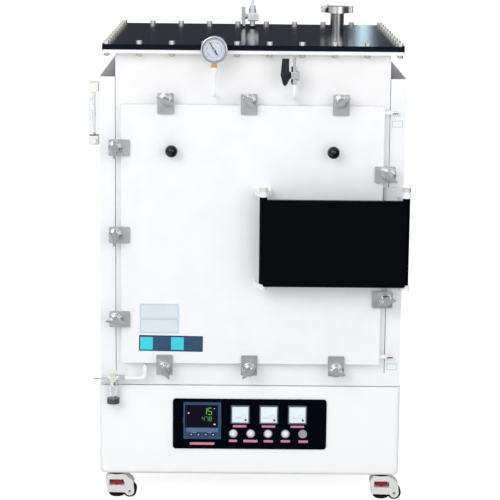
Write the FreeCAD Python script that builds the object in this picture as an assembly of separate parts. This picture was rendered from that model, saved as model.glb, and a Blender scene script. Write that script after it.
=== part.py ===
import FreeCAD, Part
import math
import os

# Controlled-atmosphere box furnace on levelling casters.
# Millimetres. X to the right, Y to the back, Z up from the floor. The sub-parts are drawn with the
# cabinet's front plane at Y = 0, and move to the middle of the footprint when they are written.

# Cabinet: base with the controls, and the open-topped casing round the chamber
cabinet_width = 762.0
cabinet_depth = 762.0
base_bottom = 67.5
base_height = 236.0
base_corner = 14.0
base_fold = 12.0
base_floor = 10.0
base_overhang = 3.0
sheet = 2.5
seam_gap = 3.0
seam_inset = 9.0
chamber_seam = 1.5
casing_height = 784.0
rail_height = 34.0
rail_depth = 60.0
origin_from_front = 345.0

# Chamber with its bolted top cover
chamber_width = 681.0
chamber_depth = 681.0
chamber_height = 810.5
chamber_wall = 10.0
front_wall = 20.0
mouth_size = 430.0
mouth_corner = 12.0
flange_overhang = 31.0
flange_thickness = 10.0
flange_corner = 8.0
cover_thickness = 12.0
bolts_per_side = 10
bolt_inset = 11.0
bolt_shank = 8.0
bolt_flats = 13.0
bolt_head = 8.0
nut_height = 6.5
hole_play = 0.5

# Lining, heating elements and thermocouple
hot_size = 400.0
front_board = 100.0
back_board = 150.0
hearth_thickness = 12.0
hearth_margin = 30.0
element_count = 3
element_pitch = 120.0
element_gap = 50.0
element_wall_gap = 22.0
hot_rod = 6.0
cold_rod = 12.0
hot_reach = 330.0
cold_into_cavity = 15.0
terminal_rise = 42.0
sheath_diameter = 8.0
sheath_into_cavity = 16.0
sheath_height = 140.0
probe_head_diameter = 40.0
probe_head_length = 46.0

# Door, its clamps and its pulls
door_width = 652.0
door_height = 655.0
door_thickness = 24.0
door_corner = 4.0
door_sill = 28.5
door_gap = 2.0
seal_size = 8.0
seal_margin = 25.0
seal_touch = 0.2
plug_depth = 62.0
plug_clearance = 6.0
plug_taper = 8.0
clamp_offset = 13.5
lug_width = 41.0
lug_over_door = 22.0
lug_beyond_screw = 16.5
lug_thickness = 6.0
lug_corner = 3.0
top_clamps = (-215.0, -9.0, 218.0)
bottom_clamps = (-217.0, -3.0, 217.0)
left_clamps = (221.0, 1.5, -214.0)
right_clamps = (159.0, -159.0)
clamp_turns = {
    "top_1": -25.0, "top_2": -50.0, "top_3": 30.0,
    "bottom_1": -53.0, "bottom_2": 43.0, "bottom_3": -10.0,
    "left_1": 90.0, "left_2": 85.0, "left_3": -8.0,
    "right_1": -40.0, "right_2": 17.0,
}
block_size = 24.0
block_thickness = 12.0
screw_diameter = 8.0
collar_diameter = 13.0
collar_thickness = 3.0
knob_diameter = 35.0
knob_thickness = 6.0
hub_diameter = 27.0
hub_tip_diameter = 20.0
hub_height = 12.0
wing_length = 46.0
wing_width = 9.5
wing_edge = 3.0
wing_height = 29.5
wing_flare = 50.0
wing_foot = 28.0
running_gap = 0.3
pull_diameter = 31.0
pull_span = 400.0
pull_height = 216.0
pull_reach = 26.0

# Swing arm between its two pivots
pivot_reach = 80.0
right_pivot = 380.0
left_pivot = 28.0
pin_diameter = 12.0
pin_play = 0.05
barrel_diameter = 19.0
arm_thickness = 22.8
arm_plate_thickness = 5.2
arm_plate_drop = 5.0
arm_plate_rise = 2.5
arm_plate_corner = 5.0
arm_bottom = 588.0
arm_height = 209.5
barrel_rise = 7.0
lug_play = 1.0
door_lug_thickness = 12.5
door_lug_root = 40.0
door_lug_nose = 19.0
door_lug_taper = 32.0
bracket_lug_thickness = 15.0
bracket_root = 330.0
bracket_nose = 24.0
bracket_web = 8.0
bracket_web_reach = 58.0
head_flats = 19.0
head_height = 10.0

# Cooling-water nozzles on the door's edge
nozzle_margin = 16.0
nozzle_barrel_diameter = 11.0
nozzle_barrel_length = 20.0
nozzle_length = 35.0
nozzle_hose_diameter = 9.0
nozzle_bore = 5.0

# Control panel and its instruments
panel_width = 393.0
panel_height = 132.0
panel_thickness = 3.0
panel_corner = 8.0
panel_bottom = 70.0
window_margin = 8.0
controller_size = 96.0
controller_body = 91.0
controller_depth = 75.0
controller_bezel = 8.0
controller_height = 146.0
latch_width = 2.0
latch_height = 16.0
latch_depth = 5.0
screen_width = 80.0
screen_height = 60.0
screen_top_margin = 6.0
screen_recess = 2.5
key_diameter = 11.0
key_count = 4
key_pitch = 18.7
key_margin = 12.0
meter_size = 48.0
meter_body = 38.0
meter_bezel = 6.0
meter_depth = 42.0
meter_count = 3
panel_left_margin = 27.3
panel_right_margin = 50.7
meter_height = 162.5
round_control_count = 5
round_control_left = 17.5
round_control_right = 14.3
round_control_height = 112.0
bezel_diameter = 22.0
bezel_bore = 17.0
bezel_rise = 3.5
control_neck = 19.5
control_depth = 34.0
button_stroke = 3.0
button_rise = 5.0
button_play = 0.25

# Power unit and the back of the base
core_width = 190.0
core_depth = 130.0
core_height = 150.0
core_limb = 38.0
coil_wall = 26.0
power_foot = 8.0
rear_opening_width = 560.0
rear_opening_height = 150.0
rear_panel_margin = 15.0
rear_panel_corner = 6.0
louvre_count = 7
louvre_width = 180.0
louvre_pitch = 16.0
louvre_slot = 5.0
gland_diameter = 24.0
gland_length = 22.0
gland_bore = 12.0

# Fittings in front of the chamber: pressure gauge and vent valve
front_pipe_reach = 50.0
gauge_x = -96.0
gauge_height = 1163.5
gauge_diameter = 66.0
gauge_thickness = 28.0
gauge_rim = 3.5
gauge_recess = 6.0
gauge_pipe_diameter = 7.0
gauge_socket_diameter = 18.0
gauge_socket_foot = 11.5
gauge_socket_taper = 12.0
gauge_socket_bottom = 1099.0
gauge_hex_bottom = 1120.0
gauge_pipe_entry = 1048.0
pointer_length = 24.0
pointer_spindle = 1.8
pointer_tail = 8.0
pointer_angle = 123.0
vent_x = 101.0
vent_height = 1102.0
vent_pipe_diameter = 12.0
vent_body = 18.0
vent_body_width = 13.0
vent_plate = 23.0
vent_plate_width = 6.0
vent_nut_flats = 14.0
vent_nut_height = 13.0
vent_tube_top = 1148.0
vent_pipe_entry = 1045.0
tube_diameter = 6.35
vent_stem_length = 1.5
vent_stem_diameter = 7.0
stem_grip = 4.0
vent_hub_diameter = 14.0
vent_hub_flare = 22.0
vent_hub_length = 5.3
vent_lever_width = 17.0
vent_lever_belly = 3.6
vent_lever_up = 41.0
vent_lever_down = 27.0
vent_lever_tip_x = 10.0
vent_lever_shoulder = 20.0
vent_lever_thickness = 14.0
vent_lever_tip_thickness = 8.0

# Fittings on the cover: ball valve and vacuum port
top_valve_x = 0.2
top_valve_depth = 571.0
top_neck_diameter = 15.0
top_neck_rise = 18.0
top_body_height = 22.0
top_body_width = 30.0
top_body_offset = 2.0
top_nut_flats = 18.0
top_nut_height = 12.5
top_gland_flats = 14.0
top_gland_height = 8.5
top_tube_rise = 25.0
top_stem_length = 6.0
top_stem_diameter = 9.0
top_stem_raise = 2.0
top_hub_diameter = 17.0
top_hub_tip = 13.0
top_lever_length = 52.0
top_lever_width = 11.0
top_lever_foot = 7.0
top_lever_thickness = 14.0
port_x = 235.0
port_depth = 602.0
port_tube_diameter = 38.1
port_tube_wall = 1.65
port_rise = 46.0
port_flange_diameter = 55.0
port_flange_rim = 3.0
port_flange_height = 7.5
clamp_ring_diameter = 69.0
clamp_ring_height = 18.5
clamp_ring_wall = 4.0
clamp_reach = 44.5
clamp_hinge_depth = 16.0
wing_nut_reach = 20.0
wing_nut_lean = 42.0
clamp_split = 3.0

# Gas inlet with its needle valve below the door
inlet_reach = 24.0
inlet_z = 328.5
inlet_left = -397.5
inlet_nut_left = -376.5
inlet_body_x = -347.0
inlet_body_diameter = 19.0
inlet_body_length = 22.0
inlet_nut_flats = 14.0
inlet_nut_length = 17.0
inlet_riser_x = -266.5
inlet_pipe_diameter = 11.0
inlet_entry = 357.0
inlet_collar_diameter = 18.0
inlet_collar_length = 5.0
inlet_ring_diameter = 19.5
inlet_ring_width = 3.4
inlet_neck_diameter = 16.0
inlet_neck_drop = 19.5
stem_flats = 20.0
stem_drop = 14.5
packing_flats = 15.0
packing_drop = 11.5
spindle_diameter = 6.0
spindle_drop = 12.0
needle_knob_diameter = 32.0
needle_knob_height = 13.5
needle_knob_flutes = 16

# Flow meter on the left side wall
meter_block_left = -408.5
meter_block_width = 24.0
meter_block_depth = 30.0
meter_block_front = 20.0
meter_block_drop = 173.5
meter_block_height = 156.0
meter_end_height = 23.0
meter_channel = 9.0
float_diameter = 8.0
flow_port_diameter = 12.0
flow_knob_diameter = 15.0
flow_knob_length = 14.0
flow_stem_diameter = 5.0

# Levelling casters
caster_x = 342.0
caster_inset = 30.0
trail = 33.5
wheel_diameter = 36.0
wheel_width = 27.0
wheel_gap = 1.0
hub_bore_play = 0.05
axle_diameter = 6.0
axle_head_diameter = 6.5
axle_head = 0.8
fork_width = 38.0
fork_bottom = 13.0
fork_top = 63.0
fork_left = 28.9
fork_lean = 3.6
fork_chamfer = 5.0
fork_step = 2.0
fork_shoulder = 7.5
fork_brow = 7.0
fork_nose = 10.0
cheek_radius = 12.0
bearing_diameter = 39.0
king_pin_length = 5.0
pad_diameter = 41.0
pad_thickness = 7.0
pad_bevel = 3.0
pad_clear = 3.0
pad_play = 1.4
leveller_travel = 5.5
thumb_diameter = 35.0
thumb_thickness = 9.5
thumb_play = 0.8
thumb_window_bottom = 32.8
thumb_flutes = 12
leveller_spindle = 10.0

# Levels and lines worked out from the values above
base_top = base_bottom + base_height
casing_bottom = base_top + seam_gap
casing_top = casing_bottom + casing_height
meter_block_bottom = casing_top - meter_block_drop
chamber_bottom = casing_bottom + rail_height
flange_bottom = chamber_bottom + chamber_height
flange_top = flange_bottom + flange_thickness
cover_top = flange_top + cover_thickness
door_bottom = chamber_bottom + door_sill
door_top = door_bottom + door_height
door_middle = door_bottom + door_height / 2
door_back = -door_gap
door_front = door_back - door_thickness
lug_front = door_front - lug_thickness
half_cabinet = cabinet_width / 2
half_base = half_cabinet + base_overhang
half_chamber = chamber_width / 2
half_door = door_width / 2
hot_bottom = door_middle - hot_size / 2
hot_top = door_middle + hot_size / 2
hot_front = front_wall + front_board
hot_back = chamber_depth - chamber_wall - back_board
roof_top = hot_top + back_board
plug_base = hot_size - 2 * plug_clearance
plug_tip = plug_base - 2 * plug_taper
arm_top = arm_bottom + arm_height
barrel_top = arm_top + barrel_rise
pivot_y = -pivot_reach
panel_z = base_bottom + panel_bottom
panel_face = -panel_thickness
instrument_room = panel_width - panel_left_margin - panel_right_margin
instrument_gap = (instrument_room - controller_size - meter_count * meter_size) / meter_count
controller_x = panel_left_margin + controller_size / 2 - panel_width / 2
first_meter_x = controller_x + controller_size / 2 + instrument_gap + meter_size / 2
meter_xs = [first_meter_x + (meter_size + instrument_gap) * i for i in range(meter_count)]
first_control_x = meter_xs[0] - round_control_left
control_pitch = (meter_xs[-1] + round_control_right - first_control_x) / (round_control_count - 1)
round_control_xs = [first_control_x + control_pitch * i for i in range(round_control_count)]
caster_rows = (caster_inset, cabinet_depth - caster_inset)
wheel_z = wheel_diameter / 2
thumb_window_top = thumb_window_bottom + leveller_travel + thumb_thickness + 1.5 * thumb_play


def v(x, y, z):
    return FreeCAD.Vector(x, y, z)


X_AXIS = v(1, 0, 0)
Y_AXIS = v(0, 1, 0)
Z_AXIS = v(0, 0, 1)
TO_FRONT = v(0, -1, 0)
TO_LEFT = v(-1, 0, 0)
DOWN = v(0, 0, -1)


def block(x0, x1, y0, y1, z0, z1):
    """A box between two corners."""
    return Part.makeBox(x1 - x0, y1 - y0, z1 - z0, v(x0, y0, z0))


def rod(start, axis, diameter, length):
    """A round bar from its start along an axis."""
    return Part.makeCylinder(diameter / 2, length, start, axis)


def cone(start, axis, d0, d1, length):
    """A round taper from diameter d0 to d1."""
    return Part.makeCone(d0 / 2, d1 / 2, length, start, axis)


def fuse(first, *rest):
    """One solid from touching pieces, with the lines between flush faces removed."""
    return first.fuse(list(rest)).removeSplitter()


def cut(shape, *tools):
    """The shape less all the tools."""
    return shape.cut(list(tools))


def group(*solids):
    """Separate solids that share one node."""
    return Part.makeCompound(list(solids))


def edges_along(shape, axis):
    """The straight edges of a shape that run along an axis."""
    found = []
    for edge in shape.Edges:
        if edge.Curve.TypeId != "Part::GeomLine":
            continue
        if abs(edge.Curve.Direction.dot(axis)) > 0.999:
            found.append(edge)
    return found


def rounded(x0, x1, y0, y1, z0, z1, radius, axis):
    """A box with its four edges along one axis rounded."""
    solid = block(x0, x1, y0, y1, z0, z1)
    return solid.makeFillet(radius, edges_along(solid, axis))


def polygon(points):
    """A flat face from its corner points."""
    return Part.Face(Part.makePolygon(list(points) + [points[0]]))


def hexagon(start, axis, flats, length):
    """A hexagonal bar, across flats, from its start along an axis."""
    side = v(0, 0, 1) if abs(axis.z) < 0.5 else v(1, 0, 0)
    other = axis.cross(side)
    corner = flats / math.sqrt(3)
    points = []
    for i in range(6):
        turn = math.radians(60 * i)
        points.append(start + side * (corner * math.cos(turn)) + other * (corner * math.sin(turn)))
    return polygon(points).extrude(axis * length)


def fluted(start, axis, diameter, length, count, depth):
    """A round grip with scallops round its rim."""
    grip = rod(start, axis, diameter, length)
    side = v(1, 0, 0) if abs(axis.x) < 0.5 else v(0, 1, 0)
    other = axis.cross(side)
    flute = math.pi * diameter / count * 0.5
    reach = diameter / 2 + flute / 2 - depth
    tools = []
    for i in range(count):
        turn = 2 * math.pi * i / count
        centre = start + side * (reach * math.cos(turn)) + other * (reach * math.sin(turn))
        tools.append(rod(centre, axis, flute, length))
    return cut(grip, *tools)


def elbow(corner, from_axis, to_axis, diameter, bend):
    """A quarter bend whose two straight runs would meet at the corner."""
    start = corner - from_axis * bend
    normal = from_axis.cross(to_axis)
    centre = start + to_axis * bend
    face = Part.Face(Part.Wire(Part.makeCircle(diameter / 2, start, from_axis)))
    return face.revolve(centre, normal, 90)


def save(name, shape):
    """Write one sub-part, moved from the front plane to the middle of the footprint."""
    placed = shape.translated(v(0, -origin_from_front, 0))
    placed.exportStep(os.path.join("parts", name + ".step"))


# Cabinet

def base_cabinet():
    """The folded base: rounded lower edges, a window behind the control panel and an inset deck."""
    outer = rounded(-half_base, half_base, 0, cabinet_depth,
                    base_bottom, base_top, base_corner, Z_AXIS)
    lower = [edge for edge in outer.Edges
             if edge.BoundBox.ZMax < base_bottom + 0.1]
    outer = outer.makeFillet(base_fold, lower)
    inner = rounded(-half_base + sheet, half_base - sheet, sheet, cabinet_depth - sheet,
                    base_bottom + base_floor, base_top - sheet, base_corner - sheet, Z_AXIS)
    window = block(-panel_width / 2 + window_margin, panel_width / 2 - window_margin,
                   -1, sheet + 1,
                   panel_z + window_margin, panel_z + panel_height - window_margin)
    rear_z = base_bottom + (base_height - rear_opening_height) / 2
    rear = block(-rear_opening_width / 2, rear_opening_width / 2,
                 cabinet_depth - sheet - 1, cabinet_depth + 1,
                 rear_z, rear_z + rear_opening_height)
    deck = block(-half_cabinet + seam_inset, half_cabinet - seam_inset,
                 seam_inset, cabinet_depth - seam_inset, base_top, casing_bottom)
    shell = cut(outer, inner, window, rear)
    mounts = []
    for side in (-1, 1):
        for y in caster_rows:
            mounts.append(rod(v(side * caster_x, y, base_bottom - 1), Z_AXIS,
                              pin_diameter, king_pin_length + 2))
    return fuse(cut(shell, *mounts), deck)


def base_rear_panel():
    """The screwed back panel of the base with louvre slots and the supply cable's gland."""
    half = rear_opening_width / 2 + rear_panel_margin
    low = base_bottom + (base_height - rear_opening_height) / 2 - rear_panel_margin
    high = low + rear_opening_height + 2 * rear_panel_margin
    back = cabinet_depth + sheet
    panel = rounded(-half, half, cabinet_depth, back, low, high, rear_panel_corner, Y_AXIS)
    slots = []
    first = (low + high) / 2 - louvre_pitch * (louvre_count - 1) / 2
    for side in (-1, 1):
        middle = side * (half - louvre_width / 2 - 2 * rear_panel_margin)
        for i in range(louvre_count):
            z = first + i * louvre_pitch
            slots.append(block(middle - louvre_width / 2, middle + louvre_width / 2,
                               cabinet_depth - 1, back + 1,
                               z - louvre_slot / 2, z + louvre_slot / 2))
    gland_z = (low + high) / 2
    gland = fuse(hexagon(v(0, back, gland_z), Y_AXIS, gland_diameter, gland_length / 2),
                 rod(v(0, back, gland_z), Y_AXIS, gland_diameter - 4, gland_length))
    hole = rod(v(0, cabinet_depth - 1, gland_z), Y_AXIS, gland_bore, gland_length + sheet + 2)
    return cut(fuse(cut(panel, *slots), gland), hole)


def outer_casing():
    """The casing: side, back and floor sheets, two front strips and the rails under the chamber."""
    gap_edge = half_chamber + chamber_seam
    strip = half_cabinet - gap_edge
    left = block(-half_cabinet, -half_cabinet + sheet, 0, cabinet_depth, casing_bottom, casing_top)
    right = block(half_cabinet - sheet, half_cabinet, 0, cabinet_depth, casing_bottom, casing_top)
    back = block(-half_cabinet, half_cabinet, cabinet_depth - sheet, cabinet_depth,
                 casing_bottom, casing_top)
    floor = block(-half_cabinet, half_cabinet, 0, cabinet_depth,
                  casing_bottom, casing_bottom + sheet)
    pieces = [right, back, floor]
    for side in (-1, 1):
        x0 = side * gap_edge if side > 0 else -half_cabinet
        pieces.append(block(x0, x0 + strip, 0, sheet, casing_bottom, casing_top))
    for y in (0, chamber_depth - rail_depth):
        pieces.append(block(-half_cabinet, half_cabinet, y, y + rail_depth,
                            casing_bottom, chamber_bottom))
    return fuse(left, *pieces)


# Chamber, cover and what is inside

def clamp_places():
    """Name, screw place (x, z) and outward direction of each of the eleven clamps."""
    places = []
    for i, x in enumerate(top_clamps):
        places.append(("top_%d" % (i + 1), x, door_top + clamp_offset, (0, 1)))
    for i, x in enumerate(bottom_clamps):
        places.append(("bottom_%d" % (i + 1), x, door_bottom - clamp_offset, (0, -1)))
    for i, dz in enumerate(left_clamps):
        places.append(("left_%d" % (i + 1), -half_door - clamp_offset, door_middle + dz, (-1, 0)))
    for i, dz in enumerate(right_clamps):
        places.append(("right_%d" % (i + 1), half_door + clamp_offset, door_middle + dz, (1, 0)))
    return places


def cover_bolt_places():
    """The bolt circle round the square top flange."""
    half_x = half_chamber + flange_overhang - bolt_inset
    y0 = -flange_overhang + bolt_inset
    y1 = chamber_depth + flange_overhang - bolt_inset
    last = bolts_per_side - 1
    places = []
    for i in range(bolts_per_side):
        x = -half_x + 2 * half_x * i / last
        places.append((x, y0))
        places.append((x, y1))
    for i in range(1, last):
        y = y0 + (y1 - y0) * i / last
        places.append((-half_x, y))
        places.append((half_x, y))
    return places


def flange_plate(z0, z1):
    """A square plate over the chamber with its overhang and rounded corners."""
    half = half_chamber + flange_overhang
    return rounded(-half, half, -flange_overhang, chamber_depth + flange_overhang,
                   z0, z1, flange_corner, Z_AXIS)


def bolt_holes(z0, z1):
    """Clearance holes for the cover bolts."""
    holes = []
    for x, y in cover_bolt_places():
        holes.append(rod(v(x, y, z0 - 1), Z_AXIS, bolt_shank + 2 * hole_play, z1 - z0 + 2))
    return holes


def vacuum_chamber():
    """The welded chamber: mouth in front, flanged open top, clamp blocks round the door."""
    shell = fuse(block(-half_chamber, half_chamber, 0, chamber_depth, chamber_bottom, flange_bottom),
                 flange_plate(flange_bottom, flange_top))
    inside = block(-half_chamber + chamber_wall, half_chamber - chamber_wall,
                   front_wall, chamber_depth - chamber_wall,
                   chamber_bottom + chamber_wall, flange_top + 1)
    mouth = rounded(-mouth_size / 2, mouth_size / 2, -1, front_wall + 1,
                    door_middle - mouth_size / 2, door_middle + mouth_size / 2,
                    mouth_corner, Y_AXIS)
    probe = rod(v(0, chamber_depth - chamber_wall - 1, door_middle + sheath_height),
                Y_AXIS, sheath_diameter + 2 * hole_play, chamber_wall + 2)
    gas_hole = rod(v(inlet_riser_x, -1, inlet_entry), Y_AXIS, tube_diameter, 2)
    shell = cut(shell, inside, mouth, probe, gas_hole, *bolt_holes(flange_bottom, flange_top))
    blocks = []
    for _, x, z, _ in clamp_places():
        seat = rounded(x - block_size / 2, x + block_size / 2, -block_thickness, 0,
                       z - block_size / 2, z + block_size / 2, 2.0, Y_AXIS)
        blocks.append(cut(seat, rod(v(x, 1 - block_thickness, z), TO_FRONT, screw_diameter, 2),
                          rod(v(x, -block_thickness, z), Y_AXIS, screw_diameter, block_thickness - 2)))
    return fuse(shell, *blocks)


def cover_plate():
    """The flat cover with holes for its bolts, the ball valve's neck and the vacuum port."""
    plate = flange_plate(flange_top, cover_top)
    neck = rod(v(top_valve_x, top_valve_depth, flange_top - 1), Z_AXIS,
               top_neck_diameter, cover_thickness + 2)
    port = rod(v(port_x, port_depth, flange_top - 1), Z_AXIS,
               port_tube_diameter, cover_thickness + 2)
    return cut(plate, neck, port, *bolt_holes(flange_top, cover_top))


def cover_bolts():
    """Hexagon bolts through the cover and flange, each with its nut below."""
    bolts = []
    for x, y in cover_bolt_places():
        head = hexagon(v(x, y, cover_top), Z_AXIS, bolt_flats, bolt_head)
        nut = hexagon(v(x, y, flange_bottom - nut_height), Z_AXIS, bolt_flats, nut_height)
        shank = rod(v(x, y, flange_bottom - nut_height - 2), Z_AXIS,
                    bolt_shank, cover_top - flange_bottom + nut_height + 2)
        bolts.append(fuse(head, nut, shank))
    return group(*bolts)


def element_places():
    """Side and depth of each hanging heating element."""
    middle = (hot_front + hot_back) / 2
    places = []
    for side in (-1, 1):
        for i in range(element_count):
            offset = (i - (element_count - 1) / 2) * element_pitch
            places.append((side * (hot_size / 2 - element_wall_gap), middle + offset))
    return places


def insulation_lining():
    """Fibre boards on all six sides of the hot zone, with a hearth plate on the floor board."""
    x1 = half_chamber - chamber_wall
    y1 = chamber_depth - chamber_wall
    z0 = chamber_bottom + chamber_wall
    half = hot_size / 2
    mouth = block(-half, half, front_wall - 1, hot_front + 1, hot_bottom, hot_top)
    front = cut(block(-x1, x1, front_wall, hot_front, z0, roof_top), mouth)
    back = block(-x1, x1, hot_back, y1, z0, roof_top)
    bore = rod(v(0, hot_back - 1, door_middle + sheath_height), Y_AXIS,
               sheath_diameter + 2 * hole_play, y1 - hot_back + 2)
    floor = block(-x1, x1, hot_front, hot_back, z0, hot_bottom)
    roof = block(-x1, x1, hot_front, hot_back, hot_top, roof_top)
    holes = []
    for x, y in element_places():
        for leg in (-1, 1):
            holes.append(rod(v(x, y + leg * element_gap / 2, hot_top - 1), Z_AXIS,
                             cold_rod + 2 * hole_play, roof_top - hot_top + 2))
    left = block(-x1, -half, hot_front, hot_back, hot_bottom, hot_top)
    right = block(half, x1, hot_front, hot_back, hot_bottom, hot_top)
    reach = half - hearth_margin - element_wall_gap
    hearth = block(-reach, reach, hot_front, hot_back - hearth_margin,
                   hot_bottom, hot_bottom + hearth_thickness)
    return group(front, cut(back, bore), floor, cut(roof, *holes), left, right, hearth)


def heating_elements():
    """Hairpin elements that hang through the roof board: thick cold ends, thin hot legs."""
    hairpins = []
    radius = element_gap / 2
    cold_bottom = hot_top - cold_into_cavity
    bend_z = hot_top - hot_reach + radius
    terminal = roof_top + terminal_rise
    for x, y in element_places():
        parts = []
        for leg in (-1, 1):
            ly = y + leg * radius
            parts.append(rod(v(x, ly, cold_bottom), Z_AXIS, cold_rod, terminal - cold_bottom))
            parts.append(rod(v(x, ly, bend_z), Z_AXIS, hot_rod, cold_bottom - bend_z))
        face = Part.Face(Part.Wire(Part.makeCircle(hot_rod / 2, v(x, y - radius, bend_z), Z_AXIS)))
        parts.append(face.revolve(v(x, y, bend_z), X_AXIS, 180))
        hairpins.append(fuse(parts[0], *parts[1:]))
    return group(*hairpins)


def thermocouple():
    """A ceramic-sheathed probe through the back wall, with its connection head behind."""
    z = door_middle + sheath_height
    tip = hot_back - sheath_into_cavity
    sheath = rod(v(0, tip + sheath_diameter / 2, z), Y_AXIS, sheath_diameter,
                 chamber_depth - tip - sheath_diameter / 2 + 2)
    nose = Part.makeSphere(sheath_diameter / 2, v(0, tip + sheath_diameter / 2, z))
    head = rod(v(0, chamber_depth, z), Y_AXIS, probe_head_diameter, probe_head_length)
    lid = rod(v(0, chamber_depth + probe_head_length, z), Y_AXIS, probe_head_diameter + 4, 5)
    return fuse(sheath, nose, head, lid)


# Door and clamps

def door_lug_plate(low):
    """One hinge lug on the door's face, tapered towards its nose."""
    root = door_lug_root / 2
    nose = door_lug_nose / 2
    tip = pivot_y - door_lug_nose / 2
    taper = tip + door_lug_taper
    arc = Part.Arc(v(left_pivot - nose, tip + nose, low), v(left_pivot, tip, low),
                   v(left_pivot + nose, tip + nose, low)).toShape()
    corners = [v(left_pivot + nose, tip + nose, low), v(left_pivot + root, taper, low),
               v(left_pivot + root, door_front, low), v(left_pivot - root, door_front, low),
               v(left_pivot - root, taper, low), v(left_pivot - nose, tip + nose, low)]
    lines = [Part.makeLine(corners[i], corners[i + 1]) for i in range(len(corners) - 1)]
    return Part.Face(Part.Wire([arc] + lines)).extrude(Z_AXIS * door_lug_thickness)


def door_panel():
    """The jacketed door with its seal groove, two hinge lugs and their pin."""
    plate = rounded(-half_door, half_door, door_front, door_back,
                    door_bottom, door_top, door_corner, Y_AXIS)
    outer = mouth_size / 2 + seal_margin + seal_size
    groove = seal_ring(outer, door_back - seal_size + door_gap, door_back)
    upper = barrel_top + lug_play
    lower = arm_bottom - lug_play - door_lug_thickness
    pin_top = upper + door_lug_thickness
    pin = rod(v(left_pivot, pivot_y, lower), Z_AXIS, pin_diameter, pin_top - lower)
    head = hexagon(v(left_pivot, pivot_y, pin_top), Z_AXIS, head_flats, head_height)
    return fuse(cut(plate, groove), door_lug_plate(upper), door_lug_plate(lower), pin, head)


def seal_ring(outer, y0, y1):
    """A square ring round the mouth, as wide as the seal."""
    inner = outer - seal_size
    whole = rounded(-outer, outer, y0, y1, door_middle - outer, door_middle + outer,
                    mouth_corner + seal_size, Y_AXIS)
    hole = rounded(-inner, inner, y0 - 1, y1 + 1, door_middle - inner, door_middle + inner,
                   mouth_corner, Y_AXIS)
    return cut(whole, hole)


def door_seal():
    """The elastomer seal in the door's groove, standing out to the chamber's face."""
    outer = mouth_size / 2 + seal_margin + seal_size
    return seal_ring(outer, door_back - seal_size + door_gap, -seal_touch)


def door_plug():
    """The tapered insulating plug on the door's inner side."""
    wires = []
    for size, y in ((plug_base, door_back), (plug_tip, door_back + plug_depth)):
        half = size / 2
        wires.append(Part.makePolygon([
            v(-half, y, door_middle - half), v(half, y, door_middle - half),
            v(half, y, door_middle + half), v(-half, y, door_middle + half),
            v(-half, y, door_middle - half)]))
    return Part.makeLoft(wires, True)


def door_lugs():
    """The eleven clamp plates, half on the door and half beyond its edge."""
    plates = []
    half = lug_width / 2
    for _, x, z, (dx, dz) in clamp_places():
        inner = clamp_offset + lug_over_door
        if dx:
            xs = sorted((x - dx * inner, x + dx * lug_beyond_screw))
            zs = (z - half, z + half)
        else:
            xs = (x - half, x + half)
            zs = sorted((z - dz * inner, z + dz * lug_beyond_screw))
        plate = rounded(xs[0], xs[1], lug_front, door_front, zs[0], zs[1], lug_corner, Y_AXIS)
        hole = rod(v(x, lug_front - 1, z), Y_AXIS, screw_diameter + 2 * pin_play, lug_thickness + 2)
        plates.append(cut(plate, hole))
    return group(*plates)


def clamp_knob(x, z, turn):
    """A captive hand screw: shank, retaining collar, round flange, tapered hub and flared wing."""
    back = lug_front - running_gap
    tip = -block_thickness - 2 * running_gap
    shank = rod(v(x, tip, z), TO_FRONT, screw_diameter, tip - back + 1)
    collar = rod(v(x, door_front + running_gap + collar_thickness, z), TO_FRONT,
                 collar_diameter, collar_thickness)
    face = back - knob_thickness
    disc = rod(v(x, back, z), TO_FRONT, knob_diameter, knob_thickness)
    rim = [edge for edge in disc.Edges if abs(edge.BoundBox.YMax - face) < 0.01]
    disc = disc.makeFillet(2.0, rim)
    hub = cone(v(x, face, z), TO_FRONT, hub_diameter, hub_tip_diameter, hub_height)
    half = wing_length / 2
    edge = wing_edge / 2
    sides = []
    for side in (-1, 1):
        sides.append(Part.Arc(v(-half, face, side * edge), v(0, face, side * wing_width / 2),
                              v(half, face, side * edge)).toShape())
    ends = [Part.makeLine(v(end, face, -edge), v(end, face, edge)) for end in (-half, half)]
    outline = Part.Wire([sides[0], ends[1], sides[1], ends[0]])
    wing = Part.Face(outline).extrude(TO_FRONT * wing_height)
    wing = wing.common(cone(v(0, face, 0), TO_FRONT, wing_foot, wing_flare, wing_height))
    wing.rotate(v(0, 0, 0), TO_FRONT, turn)
    wing.translate(v(x, 0, z))
    return fuse(shank, collar, disc, hub, wing)


def door_pulls():
    """Two ball pulls on short necks."""
    pulls = []
    for side in (-1, 1):
        centre = v(side * pull_span / 2, door_front - pull_reach, door_middle + pull_height)
        ball = Part.makeSphere(pull_diameter / 2, centre)
        neck = cone(v(centre.x, door_front, centre.z), TO_FRONT,
                    pull_diameter * 0.55, pull_diameter * 0.4, pull_reach)
        pulls.append(fuse(ball, neck))
    return group(*pulls)


def water_nozzles():
    """Barrel and barbed hose end of the two cooling-water nozzles on the door's right edge."""
    nozzles = []
    y = (door_front + door_back) / 2
    for z in (door_top - nozzle_margin, door_bottom + nozzle_margin + 2):
        barrel = rod(v(half_door, y, z), X_AXIS, nozzle_barrel_diameter, nozzle_barrel_length)
        x = half_door + nozzle_barrel_length
        hose = rod(v(x, y, z), X_AXIS, nozzle_hose_diameter - 1.5, nozzle_length - nozzle_barrel_length)
        barbs = []
        step = (nozzle_length - nozzle_barrel_length) / 3
        for i in range(3):
            barbs.append(cone(v(x + i * step, y, z), X_AXIS,
                              nozzle_hose_diameter, nozzle_hose_diameter - 2, step))
        bore = rod(v(half_door + 2, y, z), X_AXIS, nozzle_bore, nozzle_length)
        nozzles.append(cut(fuse(barrel, hose, *barbs), bore))
    return group(*nozzles)


# Swing arm

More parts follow.
